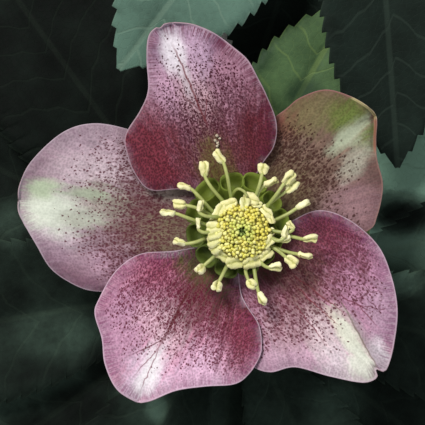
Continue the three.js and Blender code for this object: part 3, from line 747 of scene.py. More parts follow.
def addSepal(name, spec, seed):
    rows, half = sepalMesh["rows"], sepalMesh["halfColumns"]
    foot, tip = bowl["foot"], spec["tip"]
    left = outlineThrough([foot, *spec["left"], (tip, 0)], rows + 1)
    right = outlineThrough([foot, *spec["right"], (tip, 0)], rows + 1)
    crowding = sepalMesh["crowding"]
    s = np.sin(np.linspace(-1, 1, 2 * half + 1) * crowding) / math.sin(crowding)
    midrib = (left[:, :1] + right[:, :1]) / 2
    edge = np.where(s > 0, left[:, :1], right[:, :1])
    along = midrib + (edge - midrib) * abs(s)
    side = s * np.where(s > 0, left[:, 1:], right[:, 1:])
    share = np.broadcast_to(s, along.shape)
    along, side, share = (np.append(grid[:-1].ravel(), grid[-1, 0]) for grid in (along, side, share))
    share[-1] = 0

    # distance to the margin, and the place along it counted from the tip
    steps = sepalMesh["marginSteps"]
    outline = [outlineThrough([foot, *spec[hand], (tip, 0)], steps) * (1, sign)
               for hand, sign in (("left", 1), ("right", -1))]
    marks = np.vstack(outline)
    count = np.concatenate([np.linspace(1, 0, steps), np.linspace(-1, 0, steps)])
    count *= np.repeat([np.linalg.norm(np.diff(line, axis=0), axis=1).sum() for line in outline], steps)
    apart = np.hypot(along[:, None] - marks[:, 0], side[:, None] - marks[:, 1])
    rim, arc = apart.min(1), count[apart.argmin(1)]

    if spec["notch"]:
        middle, depth, width = spec["notch"]
        along = along - depth * np.exp(-((side - middle) / width) ** 2) * smoothStep(along / tip, 0.87, 1)
    reachOut = np.hypot(along, side)
    free = smoothStep(along / tip, 0.62, 1)
    rise = np.sin(np.pi / 2 * np.minimum(reachOut / bowl["reach"], 1)) ** 2
    form = spec["tipLift"] + spec["dish"] * share**2 - spec["crease"] * np.exp(-((side / 2.5) ** 2))
    z = bowl["base"] + bowl["depth"] * rise + spec["layer"] * bowl["step"] + free * form

    # what the solid leaves out: veins, a groove down the middle, ripples and a rolled margin
    flat = np.column_stack([along, side])
    fan = np.arctan2(side, along + sepalMesh["veinStart"])
    inside = smoothStep(rim, 0.3, 2.5)
    body = smoothStep(along, 9, 16)
    z += 0.05 * np.cos(fan * 74) * inside * body
    z += (0.13 * wobble(flat, 2.6, seed) + 0.06 * wobble(flat, 1.1, seed + 9)) * inside * body
    z += 0.5 * wobble(flat, 9, seed + 3) * free
    z -= spec["groove"] * np.exp(-((side / 0.75) ** 2)) * smoothStep(along, 12, 24) * (0.3 + 0.7 * free)
    z -= 0.28 * (1 - smoothStep(rim, 0, 1.3))
    z += spec["ripple"] * np.sin(arc / 2.7 + seed) * (1 - smoothStep(rim, 0, 6)) * (0.25 + free)
    if spec["curl"]:
        start, end, depth, width = spec["curl"]
        window = smoothStep(arc, start, start + 2.5) * (1 - smoothStep(arc, end - 2.5, end))
        z -= depth * (1 - smoothStep(rim, 0, width)) * window

    out, aside = bearingVectors(spec["bearing"])
    flatPlace = along[:, None] * out + side[:, None] * aside
    thin = sepalMesh["rimThickness"]
    thickness = thin + (sepalMesh["thickness"] - thin) * smoothStep(rim, 0, sepalMesh["rimWidth"])
    points, closed = thicken(np.column_stack([flatPlace, z]), sheetFaces(rows, 2 * half + 1), thickness)
    blade = np.column_stack([along, side, rim])
    upper = np.column_stack([arc, np.zeros_like(arc), np.zeros_like(arc)])
    attributes = {"blade": np.vstack([blade, blade]), "margin": np.vstack([upper, upper + (0, 1, 0)])}
    piece = addMesh(name, points, closed, sepalSkin(name, spec, seed), attributes)
    keep(piece, spec["node"])


for number, (sepalName, sepalSpec) in enumerate(sepals.items()):
    addSepal(sepalName, {**plainSepal, **sepalSpec}, 11.3 + 7.7 * number)
print("sepals")

# Leaves, bracts and stalks.
leafShape = {
    "thickness": 0.45,
    "stalkHalf": 0.9,  # half width at the foot
    "toothPitch": 3.1,
    "toothLength": 0.95,
    "halfColumns": 8,
    "veinPitch": 7.4,  # from one side vein to the next
    "veinDepth": 0.16,
}
leafUnder = {
    "hub": (-2, -13, 7.2),
    "stalk": [(66.5, 130, 6), (55, 82, 4.2), (32, 36, 3.6), (8, 0, 4.4)],
    # bearing, length, width, height of the tip, rise of the middle, bend of the tip, lightness (the
    #     leaflet's own tone, and painted light and shade on it)
    "leaflets": [
        (126, 88, 36, 0.8, 5.4, 0, 0.0), (152, 88, 36, 0.8, 2.6, 0, 0.02),
        (184, 83.7, 32, 0.8, 5.4, 9, 0.1), (214, 84, 27, 0.8, 2.6, 3, 0.42),
        (242, 85, 28, 0.8, 5.4, 0, 0.18), (269, 85.7, 28, 0.8, 2.6, 0, 0.24),
        (296, 85, 28, 0.8, 5.4, 0, 0.2), (322, 84, 27, 0.8, 2.6, 0, 0.08),
        (348, 82, 26, 0.8, 5.4, 0, 0.12), (14, 78, 25, 0.8, 2.6, 0, 0.83),
        (42, 72, 24, 0.8, 5.4, -2, 1.85),
    ],
    # painted shade and painted light, as darker and lighter places: where, how wide, how high, their
    # lightness
    "paintedLightAndShade": [(33.5, 2.6, 8.0, 4.2, 0.0), (-36.0, -21.5, 11.0, 5.5, 0.32), (-46.5, 0.5, 4.0, 5.0, 0.32),
               (-27.0, -28.5, 5.0, 6.0, 0.0), (-32.0, -36.5, 7.5, 5.5, 0.0), (-41.0, -41.5, 9.0, 4.5, 0.0),
               (-16.6, -36.8, 2.2, 3.2, 0.6), (20.0, -36.0, 6.0, 5.0, 0.34), (33.0, -10.5, 5.0, 3.2, 0.6),
               (33.6, -6.2, 4.2, 3.2, 1.2)],
}
leafUpper = {
    "hub": (25, 95, 22),
    "stalk": [(56.5, 137, 9), (45, 125, 14.5), (34, 108, 19.5)],
    "leaflets": [
        (180, 58, 20, 10, 3, 3, 0.6), (205, 74, 24, 15, 3, 2, 0.55), (232.4, 80.3, 29, 24, 3, 0, 0.76),
        (251, 72, 22, 9, 0, 0, 0.05), (274.5, 83.3, 25, 20.5, 4, 0, 0.03), (300, 76, 25, 10, 3, -2, 0.6),
        (326, 60, 21, 5, 3, -3, 0.5),
    ],
}
bracts = {
    "hub": (0, 0, 14.5),
    "leaflets": [
        (69.5, 51, 21, 18.5, 2, -6, 0.44), (112, 31, 11, 18, 1, 2, 0.5), (196, 29, 11, 18, 1, 2, 0.6),
        (236, 31, 12, 18, 1, -2, 0.5), (326, 28, 11, 18, 1, 2, 0.6), (2, 26, 10, 18, 1, -2, 0.5),
    ],
    # painted shade on the big bract
    "paintedLightAndShade": [(3.0, 34.5, 3.6, 4.5, 0.12), (13.2, 27.0, 4.0, 3.0, 0.12)],
}
scape = {
    "radius": (3.1, 2.1),  # at the crown and under the bloom
    "path": [(60.5, 130.5, 8), (45, 96, 6.2), (24, 52, 4.8), (10, 20, 4.6), (2.2, 4, 7.4), (0.2, 0.4, 13),
             (0, 0, 17.5)],
}
stalkRadius = (2.3, 1.7)


def leafSkin(name, deep, light, vein, gloss, back, veined, sheen):
    material, graph = newMaterial(name)
    along, side, share = graph.parts(graph.stored("leaf"))
    veinPhase, mood, under = graph.parts(graph.stored("growth"))
    spread = graph.noise(graph.point(along, side, mood * 9), 0.11, 3, 0.55)
    grain = graph.noise(graph.point(along, side, mood * 5), 0.9, 3, 0.6)
    # the lightness paints light and shade: the deep colour where shaded, the light colour where lit, brighter
    # still above one
    lit = mood + ((spread - 0.5) * 0.9 + (grain - 0.5) * 0.35) * mood.fade(0, 0.6, 0.3, 1)
    color = graph.mix(lit.fade(-0.1, 1.1), tone(*deep), tone(*light))
    color = graph.mix(lit.fade(1.0, 1.9), color, tone(*(1.45 * c for c in light)))
    paler = graph.mix(mood.fade(0, 0.8, 0.07, 0.5), color, tone(*vein))
    web = graph.cells(graph.point(along * 1.1, side, mood), 0.8, "DISTANCE_TO_EDGE")
    fine = web.fade(0.07, 0.02)
    color = graph.mix(fine * 0.22 * veined, color, paler)
    toVein = abs(veinPhase.math("FRACT") - 0.5) * leafShape["veinPitch"]
    lateral = toVein.fade(0.42, 0.12) * share.fade(1.02, 0.8)
    color = graph.mix(lateral * 0.6 * veined, color, paler)
    rib = abs(side).fade(0.75, 0.3)
    color = graph.mix(rib * 0.75 * veined, color, paler)
    color = graph.mix(share.fade(0.965, 1.0) * 0.5, color, paler)
    color = graph.mix(under * 0.75, color, tone(*back))
    height = (1 - fine) * 0.4 + grain * 0.5 - lateral * 0.6
    finishMaterial(graph, color, grain.fade(0.2, 0.8, gloss, gloss + 0.14), height, 0.00018, 0.5,
                   Specular_IOR_Level=sheen)
    return material


def leafletShare(t):
    def shape(x):
        return np.clip(x, 0, 1) ** 1.5 * np.clip(1 - x, 0, 1)
    return shape(t) / shape(0.6)


# One saw-edged leaflet over a grid whose rows fall on the teeth.
def leafletSheet(root, leaflet, mood):
    bearing, length, width, tipHeight, rise, bend = leaflet
    teeth = max(6, round(length / leafShape["toothPitch"]))
    phases = ((0, 0, 0), (0.34, 0.42, 0.04), (0.68, 0.86, 0.1), (0.84, 1, 0.2))  # place, height, lean
    stations = [(i + p, h, lean) for i in range(teeth) for p, h, lean in phases]
    t = np.array([row[0] for row in stations] + [teeth]) / teeth
    tooth = np.array([row[1] for row in stations] + [0]) * leafShape["toothLength"]
    lean = np.array([row[2] for row in stations] + [0]) / teeth
    half = np.maximum(leafShape["stalkHalf"] * (1 - t), width / 2 * leafletShare(t))
    tooth *= np.minimum(1, 2.2 * leafletShare(t)) * smoothStep(t, 0.12, 0.3)
    grid = np.linspace(-1, 1, 2 * leafShape["halfColumns"] + 1)
    s = np.sign(grid) * abs(grid) ** 1.1
    outer = abs(s) ** 5
    across = s * half[:, None] + np.sign(s) * outer * tooth[:, None]
    down = t[:, None] + lean[:, None] * outer
    across[-1] = 0
    height = root[2] + (tipHeight - root[2]) * down**1.5 + rise * np.sin(np.pi * down)
    height += 0.16 * half[:, None] * abs(s) * np.sin(np.pi * np.minimum(down * 1.15, 1))
    turn = 9 * down + bearing + 2 * s
    height += 0.5 * abs(s) * np.sin(turn) * np.sin(np.pi * down)
    # side veins leave the midrib forwards and run out into the teeth
    phase = (down * length - abs(across) * 1.05 + 0.028 * across**2) / leafShape["veinPitch"] + 0.5 * (s > 0)
    phase = phase + 0.12 * np.sin(down * 17 + bearing) + 0.05 * np.sin(across * 1.3 + 5 * down)
    nearVein = abs(phase % 1 - 0.5) * leafShape["veinPitch"]
    relief = np.exp(-((nearVein / 0.55) ** 2)) * smoothStep(abs(across), 0, 1.5)
    shown = smoothStep(half, 1.5, 4)[:, None] * (1 - abs(s) ** 6)
    height -= leafShape["veinDepth"] * relief * shown
    height -= 0.3 * np.exp(-((across / 0.6) ** 2)) * shown
    height += 0.14 * np.sin(np.pi * (phase % 1)) * shown * smoothStep(abs(across), 0.6, 3)

    out, aside = bearingVectors(bearing)
    flat = (down * length)[..., None] * out + (across + bend * down**2)[..., None] * aside
    points = np.dstack([flat + np.array(root[:2]), height])
    leaf = np.dstack([down * length, across, np.broadcast_to(abs(s), across.shape)])
    growth = np.dstack([phase, np.full_like(phase, mood), np.zeros_like(phase)])
    rows, columns = len(t) - 1, len(s)
    points, leaf, growth = (block.reshape(-1, 3)[: rows * columns + 1] for block in (points, leaf, growth))
    thickness = leafShape["thickness"] * (0.55 + 0.45 * (1 - leaf[:, 2] ** 8))
    points, closed = thicken(points, sheetFaces(rows, columns), thickness)
    below = growth.copy()
    below[:, 2] = 1
    return points, closed, np.vstack([leaf, leaf]), np.vstack([growth, below])


def addBlades(name, spec, material, drop=0):
    points, faces, leaf, growth = [], [], [], []
    start = 0
    for leaflet in spec["leaflets"]:
        block = leafletSheet(spec["hub"], leaflet[:6], leaflet[6])
        points.append(block[0])
        faces += [tuple(start + n for n in face) for face in block[1]]
        leaf.append(block[2])
        growth.append(block[3])
        start += len(block[0])
    points = np.vstack(points)
    if drop is None:  # the leaf lies on the surface
        drop = points[:, 2].min()
    points[:, 2] -= drop
    growth = np.vstack(growth)
    # painted light and shade: each place pulls the lightness of the leaflets there towards its own
    for x, y, wide, high, mood in spec.get("paintedLightAndShade", ()):
        far = ((points[:, 0] - x) / wide) ** 2 + ((points[:, 1] - y) / high) ** 2
        growth[:, 1] += (mood - growth[:, 1]) * np.exp(-(far**2))
    return addMesh(name, points, faces, material, {"leaf": np.vstack(leaf), "growth": growth}), drop


def stalkSkin(name, base, blush, reach):
    material, graph = newMaterial(name)
    place = graph.place()
    drawn = graph.node("ShaderNodeMapping", None, {"Vector": place, "Scale": (1, 1, 0.3)})
    streak = graph.noise(drawn, 900, 3, 0.6)
    along = graph.parts(graph.stored("stem"))[0]
    spotty = graph.noise(place, 420, 3, 0.7)
    color = graph.mix(streak.fade(0.3, 0.7), tone(*(0.85 * c for c in base)), tone(*base))
    color = graph.mix(spotty.fade(0.48, 0.62) * along.fade(reach, 0) * 0.8, color, tone(*blush))
    finishMaterial(graph, color, 0.48, streak, 0.0002, 0.4)
    return material


stalkGreen = stalkSkin("stalkSkin", (118, 128, 70), (112, 58, 56), 0.9)
# deep colour for leaflets in painted shade and light colour for lit ones, veins, roughness, back,
# how strong the veins are, how much it shines
underSkin = leafSkin("underLeafSkin", (7, 9, 8), (86, 110, 96), (92, 112, 92), 0.6, (60, 76, 60), 0.5, 0.04)
upperSkin = leafSkin("upperLeafSkin", (15, 22, 18), (90, 120, 106), (124, 148, 130), 0.58, (84, 104, 82),
                     0.8, 0.08)
bractSkin = leafSkin("bractSkin", (30, 50, 34), (104, 136, 88), (150, 174, 96), 0.55, (104, 126, 82),
                     0.8, 0.14)


def hubBar(leaf, drop):  # the swollen end of the stalk that carries the leaflets
    hub = np.array(leaf["hub"]) - (0, 0, 0.5 + drop)
    line = np.array([hub + (0, 0, h) for h in (-2.2, -1.6, -0.6, 0.6, 1.5, 2.0)])
    return line, (1.0, 1.9, 2.5, 2.4, 1.6, 0.7)


def addLeaf(name, leaf, node, skin, drop=0):
    blades, drop = addBlades(name + "Blades", leaf, skin, drop)
    keep(blades, node)
    line = pathThrough([*leaf["stalk"], leaf["hub"]], 70) - (0, 0, drop)
    bars = [(line, tapered(line, *stalkRadius)), hubBar(leaf, drop)]
    keep(addTubes(name + "Stalk", bars, 16, stalkGreen), node)


addLeaf("underLeaf", leafUnder, "leaf_under", underSkin, None)
addLeaf("upperLeaf", leafUpper, "leaf_upper", upperSkin)
bractPiece, _ = addBlades("bracts", bracts, bractSkin)
keep(bractPiece, "flower_stalk")
scapeLine = pathThrough(scape["path"], 110)
scapeBar = [(scapeLine, tapered(scapeLine, *scape["radius"]))]
keep(addTubes("flowerStalk", scapeBar, 22, stalkGreen), "flower_stalk")
print("leaves and stalks")

# The receptacle and its ring of nectaries.
nectary = {
    "count": 12,
    "start": 0.35,  # of one step round the ring
    "path": [(2.6, 3.6), (6.2, 5.2), (8.7, 7.5)],  # distance out, height above the sepals' foot
    "radii": (0.9, 1.5, 2.15, 2.4, 2.36),
    "wall": 0.26,
    "depth": 0.26,  # share of the tube that is hollow
    "lip": 1.1,
    "flat": 0.5,  # of its width
    "square": 0.72,  # less is squarer, and 1 is round
    "longer": (135, 0.12),  # towards this bearing, by this share
    "sway": 0.04,
    "seed": 4,
    "sides": 20,
    "rows": 12,
}


def nectarySheet():  # one cup along +X, its mouth cut aslant
    line = pathThrough([(out, 0, bowl["base"] + up) for out, up in nectary["path"]], nectary["rows"] + 1)
    share = np.linspace(0, 1, nectary["rows"] + 1)
    radii = np.interp(share, np.linspace(0, 1, len(nectary["radii"])), nectary["radii"])
    angle = np.linspace(0, 2 * np.pi, nectary["sides"], endpoint=False)
    waves = [np.sign(wave) * abs(wave) ** nectary["square"] for wave in (np.cos(angle), np.sin(angle))]
    rings, level = [], []
    inner = [k for k in range(nectary["rows"], -1, -1) if share[k] >= 1 - nectary["depth"]]
    for k, shrink in [(k, 0) for k in range(nectary["rows"] + 1)] + [(k, nectary["wall"]) for k in inner]:
        ahead = line[min(k + 1, len(line) - 1)] - line[max(k - 1, 0)]
        ahead /= np.linalg.norm(ahead)
        up = np.cross(ahead, (0, 1, 0)) * -1
        if up[2] < 0:
            up = -up
        radius = max(radii[k] - shrink, 0.25) * (1 if shrink == 0 else 1 - 0.3 * (1 - share[k]))
        slant = nectary["lip"] * share[k] ** 4 * -np.sin(angle)
        ring = line[k] + np.outer(radius * waves[0], (0, 1, 0))
        rings.append(ring + np.outer(radius * nectary["flat"] * waves[1], up) + np.outer(slant, ahead))
        level += [(share[k], float(shrink > 0), 0)] * len(angle)
    sides = nectary["sides"]
    first = (len(rings) - 1) * sides
    caps = [tuple(reversed(range(sides))), tuple(range(first, first + sides))]
    return np.vstack(rings), ringFaces(len(rings), sides) + caps, level


def ringTree():  # copies of one piece round the bloom's axis, each a little different
    sizes = {"Cup": "Object", "Count": "Int", "Start": "Float", "Sway": "Float", "Axis": "Vector",
             "Bearing": "Float", "Longer": "Float", "Seed": "Int"}
    graph, inputs = newTree("ringOfCups", sizes)
    spots = graph.node("GeometryNodePoints", None, {"Count": inputs["Count"], "Position": inputs["Axis"]})
    index = graph.node("GeometryNodeInputIndex")
    sway = graph.node("FunctionNodeRandomValue", {"data_type": "FLOAT"},
                      {2: -1.0, 3: 1.0, "Seed": inputs["Seed"]}, out=1)
    turn = (index + inputs["Start"] + sway * inputs["Sway"]) * (2 * math.pi) / inputs["Count"]
    cup = graph.node("GeometryNodeObjectInfo", None, {"Object": inputs["Cup"]}, out="Geometry")
    size = 1 + sway * 0.05 + (turn - inputs["Bearing"]).math("COSINE") * inputs["Longer"]
    sockets = {"Points": spots, "Instance": cup, "Rotation": graph.point(0, 0, turn),
               "Scale": graph.point(size, size + sway * 0.03, 1)}
    ring = graph.node("GeometryNodeInstanceOnPoints", None, sockets)
    return finishTree(graph, ring, inputs["Finish"])


def nectarySkin():
    material, graph = newMaterial("nectarySkin")
    level, inside, _ = graph.parts(graph.stored("cup"))
    spread = graph.noise(graph.place(), 500, 3, 0.6)
    color = graph.mix(level.fade(0.2, 0.95), tone(88, 104, 38), tone(116, 134, 50))
    # inside the cups: painted light that softens their shadow, then painted shade deeper down
    color = graph.mix(inside * 0.8, color, tone(116, 132, 50))
    color = graph.mix(inside * level.fade(0.86, 0.7) * 0.6, color, tone(90, 104, 34))
    color = graph.mix(spread.fade(0.4, 0.65) * 0.5, color, tone(90, 98, 30))
    color = graph.mix(level.fade(0.95, 1.0) * spread.fade(0.3, 0.6, 0.1, 0.4), color, tone(114, 128, 50))
    # painted shade: the cups darker towards the bottom of the ring, a little to the left
    x, y, _ = graph.parts(graph.place())
    below = (bloomAxis.x - x * perMetre) * 0.5 + (bloomAxis.y - y * perMetre) * 0.87
    color = graph.mix(below.fade(1, 7) * 0.6, color, tone(48, 64, 28))
    finishMaterial(graph, color, 0.6, spread, 0.0002, 0.4, Specular_IOR_Level=0.2)
    return material


def turned(profile, sides, centre=(0, 0)):  # a lathe shape from (radius, height) pairs
    x, y = centre
    angle = np.linspace(0, 2 * np.pi, sides, endpoint=False)
    points = [(x, y, profile[0][1])]
    for r, height in profile[1:-1]:
        points += [(x + r * c, y + r * s, height) for c, s in zip(np.cos(angle), np.sin(angle))]
    points.append((x, y, profile[-1][1]))
    return np.array(points), poleFaces(len(profile) - 2, sides)


def addNectaries():
    skin = nectarySkin()
    points, faces, level = nectarySheet()
    cup = addMesh("cupPattern", points, faces, None, {"cup": level})
    cup.data.transform(Matrix.Translation((-bloomAxis.x / perMetre, -bloomAxis.y / perMetre, 0)))
    host = addMesh("cupHost", [(0, 0, 0)], [])
    axis = (bloomAxis.x / perMetre, bloomAxis.y / perMetre, 0)
    bearing, longer = nectary["longer"]
    ring = grow("nectaryCups", ringTree(), host, Cup=cup, Count=nectary["count"], Start=nectary["start"],
                Sway=nectary["sway"], Axis=axis, Bearing=math.radians(bearing), Longer=longer,
                Seed=nectary["seed"], Finish=skin)
    bpy.data.objects.remove(cup)
    keep(ring, "nectaries")
    base = bowl["base"]
    profile = [(0, 17.8), (1.6, 17.8), (2.2, 18.0), (2.8, 19.8), (3.8, 20.5), (4.6, 21.3), (4.7, 23),
               (4.7, 25.6), (4.4, base + 4.5), (3.6, base + 4.8), (1.5, base + 4.9), (0, base + 4.9)]
    points, faces = turned(profile, 48)
    receptacle = addMesh("receptacle", points, faces, skin, {"cup": [(0.3, 0, 0)] * len(points)})
    keep(receptacle, "nectaries")


addNectaries()
print("nectaries")

# The stamens: a packed head with opened ones round it.
head = {
    "centre": (0.4, -0.8),
    "radius": 5.9,
    "foot": 5.2,  # heights above the sepals' foot
    "rim": 10.6,
    "top": 13.2,
    "wellFloor": 9.6,
    "well": 0.9,
    "sides": 44,
    "grains": 215,
    "grainSize": 0.37,
    "grainReach": 5.3,
    "seed": 7,
}
stamen = {
    # bearing, distance to the anther, height, way it points, roll, width, length, how far it stands up
    "open": [
        (121, 14.3, 11.6, 95, 0.15, 0.92, 1.0, 0), (107, 15.3, 12.4, 124, 0.3, 0.95, 1.0, 0),
        (72, 12.9, 11.4, 82, -0.1, 1.15, 0.82, 0), (60, 11.3, 10.6, 26, 1.0, 0.95, 1.0, 0),
        (49, 13.9, 12.2, 48, 0.35, 1.1, 1.12, 0), (43.3, 13.2, 11.0, 46, 0, 1.2, 1.1, 0),
        (24, 13.1, 11.0, 28, 1.25, 0.85, 1.0, 0), (142, 14.3, 12.0, 162, 1.2, 0.85, 0.95, 0),
        (156, 13.3, 11.2, 170, 0.1, 1.05, 0.92, 0), (165.6, 15.1, 12.4, 176, 1.3, 0.85, 1.0, 0),
        (148.7, 9.6, 13.0, 78, 0.9, 0.65, 0.75, 0), (169, 8.7, 12.6, 92, 1.4, 0.5, 0.8, 0),
        (189, 12.5, 10.8, 164, 0.5, 0.8, 0.85, 0), (221.5, 10.9, 10.4, 222, 0.3, 1.0, 0.9, 1),
        (245, 11.6, 10.4, 245, 0, 1.1, 0.9, 1), (280.5, 10.3, 10.8, 312, 0.2, 0.95, 0.75, 0.6),
        (286.7, 13.5, 11.2, 300, 1.1, 0.85, 0.95, 0), (313, 9.4, 11.0, 5, 0.6, 0.85, 0.85, 0),
        (329.4, 11.1, 11.6, 325, 0.1, 1.1, 0.95, 0), (339.5, 13.1, 10.8, 350, 1.2, 0.8, 1.0, 0),
        (354.4, 13.3, 11.6, 3, 0.6, 0.9, 1.0, 0), (0, 8.4, 12.8, 75, 0.7, 0.75, 0.85, 0),
        (351, 8.7, 12.1, 20, 0.9, 0.65, 0.7, 0), (8, 9.5, 12.5, 128, 0.4, 0.6, 0.62, 0),
    ],
    "rim": [  # bearing, distance, turn from outwards, size
        (76, 6.6, 88, 1.1), (85, 5.4, 0, 0.9), (115, 5.9, 88, 1.15), (137, 6.0, 110, 1.0),
        (171, 5.6, 8, 1.05), (184, 5.4, 12, 1.05), (197, 5.5, 0, 1.05), (211, 5.7, 0, 1.0),
        (226, 6.0, 105, 1.0), (254, 6.1, 112, 1.15), (287, 6.0, 95, 1.25), (316, 6.3, 80, 0.95),
        (339, 5.5, 72, 0.9), (25, 6.0, 105, 0.8), (40, 6.1, 100, 0.9), (62, 6.0, 120, 0.7),
        (158, 5.9, 40, 0.65), (0, 5.9, 50, 0.55),
    ],
    "arch": [(-1.9, 6.4, 9.8), (-1.75, 7.6, 11.2), (-0.75, 8.4, 12.3), (0.35, 7.9, 12.4), (0.8, 7.2, 12.0)],
    "archRadius": (0.34, 0.28),
    "look": {"foot": (116, 132, 56), "tip": (184, 190, 116), "speck": (136, 140, 70), "span": (0.2, 1.0),
             "grain": (1800, 2, 0.5), "specks": (0.4, 0.7, 0.3), "relief": (0.00006, 0.3)},
    "filament": (0.44, 0.34),
    "anther": (1.06, 1.56, 0.6),  # half width, half length, half thickness
    "crumple": 1.3,
    "seed": 3,
}


def headHeight(r):
    share = np.minimum(r / head["radius"], 1)
    return head["rim"] + (head["top"] - head["rim"]) * np.sqrt(np.maximum(0, 1 - share * share))


def antherSheet():  # two lobes side by side, each with a seam down its faces
    rings, sides = 11, 20
    w, l, d = stamen["anther"]
    angle = np.linspace(0, 2 * np.pi, sides, endpoint=False)
    points, tint = [(0, -l, 0)], [(0, 0, 0)]
    for k in range(1, rings):
        y = -math.cos(math.pi * k / rings)
        full = (1 - abs(y) ** (4.5 if y > 0 else 3.4)) ** 0.45
        notch = 1 - 0.26 * np.exp(-((np.cos(angle) / 0.28) ** 2)) * (0.5 + 0.5 * y)
        x = w * full * (0.88 + 0.13 * y) * np.cos(angle)
        groove = 0.44 + 0.56 * smoothStep(abs(np.cos(angle)), 0, 0.45)
        groove *= 1 - 0.2 * np.exp(-(((abs(np.cos(angle)) - 0.95) / 0.06) ** 2))
        z = d * full * np.sign(np.sin(angle)) * abs(np.sin(angle)) ** 0.7 * groove
        points += list(np.column_stack([x, np.full(sides, l * y) * notch, z]))
        tint += list(np.column_stack([1 - groove, np.full(sides, y), abs(np.sin(angle))]))
    points.append((0, l * 0.86, 0))
    tint.append((0.5, 1, 0))
    return np.array(points), poleFaces(rings - 1, sides), np.array(tint)


def scatterTree():  # one piece at every point, turned and sized by the point's own values
    graph, inputs = newTree("pieceAtPoints", {"Pattern": "Object", "Crumple": "Float", "Seed": "Int"})
    turn = graph.node("GeometryNodeInputNamedAttribute", {"data_type": "FLOAT_VECTOR"}, {"Name": "turn"})
    size = graph.node("GeometryNodeInputNamedAttribute", {"data_type": "FLOAT_VECTOR"}, {"Name": "size"})
    pattern = graph.node("GeometryNodeObjectInfo", None, {"Object": inputs["Pattern"]}, out="Geometry")
    spin = graph.node("FunctionNodeEulerToRotation", None, [turn])
    sockets = {"Points": inputs["Geometry"], "Instance": pattern, "Rotation": spin, "Scale": size}
    placed = graph.node("GeometryNodeInstanceOnPoints", None, sockets)
    return finishTree(graph, withMood(graph, placed, inputs["Seed"]), inputs["Finish"], inputs["Crumple"])


# The young anthers: a sunflower spiral over the head's dome.
def grainTree():
    sizes = {"Count": "Int", "Inner": "Float", "Outer": "Float", "Radius": "Float", "Rim": "Float",
             "Rise": "Float", "Grain": "Float", "Centre": "Vector", "Seed": "Int"}
    graph, inputs = newTree("packedGrains", sizes)
    index = graph.node("GeometryNodeInputIndex")
    share = (index + 0.5) / inputs["Count"]
    inner, outer = inputs["Inner"] * inputs["Inner"], inputs["Outer"] * inputs["Outer"]
    jitter = graph.node("FunctionNodeRandomValue", {"data_type": "FLOAT_VECTOR"},
                        {0: (-1, -1, -1), 1: (1, 1, 1), "Seed": inputs["Seed"]}, out=0)
    r = (inner + share * (outer - inner)).math("SQRT")
    angle = index * goldenAngle
    ratio = r / inputs["Radius"]
    height = inputs["Rim"] + inputs["Rise"] * (1 - ratio * ratio).math("MAXIMUM", 0.0).math("SQRT")
    flat = graph.point(r * angle.math("COSINE"), r * angle.math("SINE"), height)
    nudge = graph.node("ShaderNodeVectorMath", {"operation": "MULTIPLY_ADD"},
                       [jitter, (0.0002, 0.0002, 0.0005), flat])
    place = graph.node("ShaderNodeVectorMath", {"operation": "ADD"}, [nudge, inputs["Centre"]])
    dots = graph.node("GeometryNodePoints", None, {"Count": inputs["Count"], "Position": place})
    sockets = {"Segments": 8, "Rings": 5, "Radius": inputs["Grain"]}
    ball = graph.node("GeometryNodeMeshUVSphere", None, sockets)
    lean = graph.node("ShaderNodeVectorMath", {"operation": "SCALE"}, {0: jitter, "Scale": 0.5})
    jx, jy, jz = graph.parts(jitter)
    size = graph.point(1 + jx * 0.2, 1 + jy * 0.12, 1.25 + jz * 0.2)
    sockets = {"Points": dots, "Instance": ball, "Rotation": lean, "Scale": size}
    grains = graph.node("GeometryNodeInstanceOnPoints", None, sockets)
    return finishTree(graph, withMood(graph, grains, inputs["Seed"]), inputs["Finish"])


def fromHead(graph):  # how far right, up and in all from the middle of the head
    place = graph.parts(graph.place())
    dx, dy = (a * perMetre - (b + c) for a, b, c in zip(place, bloomAxis, head["centre"]))
    return dx, dy, (dx * dx + dy * dy).math("SQRT")


def grainSkin():
    material, graph = newMaterial("youngAntherSkin")
    dx, dy, r = fromHead(graph)
    mood = graph.parts(graph.stored("mood"))[0]
    clump = graph.noise(graph.place(), 420, 2, 0.5)
    color = graph.mix(mood.fade(0, 1), tone(220, 214, 96), tone(240, 236, 152))
    color = graph.mix((clump + dx * 0.03 + dy * 0.015).fade(0.42, 0.62) * 0.5, color, tone(228, 212, 84))
    color = graph.mix((r + mood * 1.2 + clump * 3).fade(5.2, 3.0) * 0.75, color, tone(208, 218, 116))
    finishMaterial(graph, color, 0.5, clump, 0.0001, 0.2)
    return material


def antherSkin():
    material, graph = newMaterial("antherSkin")
    groove, _, crest = graph.parts(graph.stored("lobe"))
    mood = graph.parts(graph.stored("mood"))[0]
    dust = graph.noise(graph.place(), 2600, 3, 0.7)
    # the lobes' edges lighter than their faces: a painted highlight
    color = graph.mix(crest.fade(0.3, 0.95), tone(250, 246, 200), tone(230, 226, 160))
    color = graph.mix(mood.fade(0.4, 1) * 0.5, color, tone(236, 226, 158))
    dull = graph.noise(graph.place(), 700, 2, 0.6)
    color = graph.mix(dull.fade(0.5, 0.62) * 0.35, color, tone(202, 200, 118))
    dx, dy, r = fromHead(graph)
    # painted shade: the anthers darker to the lower left of the head
    below = (dx * -0.6 - dy * 0.8).fade(1.5, 5.5) * r.fade(8.6, 7.4)
    color = graph.mix(below * 0.55, color, tone(192, 192, 118))
    # darker in the groove between the lobes: painted shade
    color = graph.mix(groove.fade(0.15, 0.5) * 0.85, color, tone(168, 168, 84))
    color = graph.mix(dust.fade(0.5, 0.75) * 0.4, color, tone(254, 250, 214))
    finishMaterial(graph, color, 0.62, dust, 0.00008, 0.5)
    return material


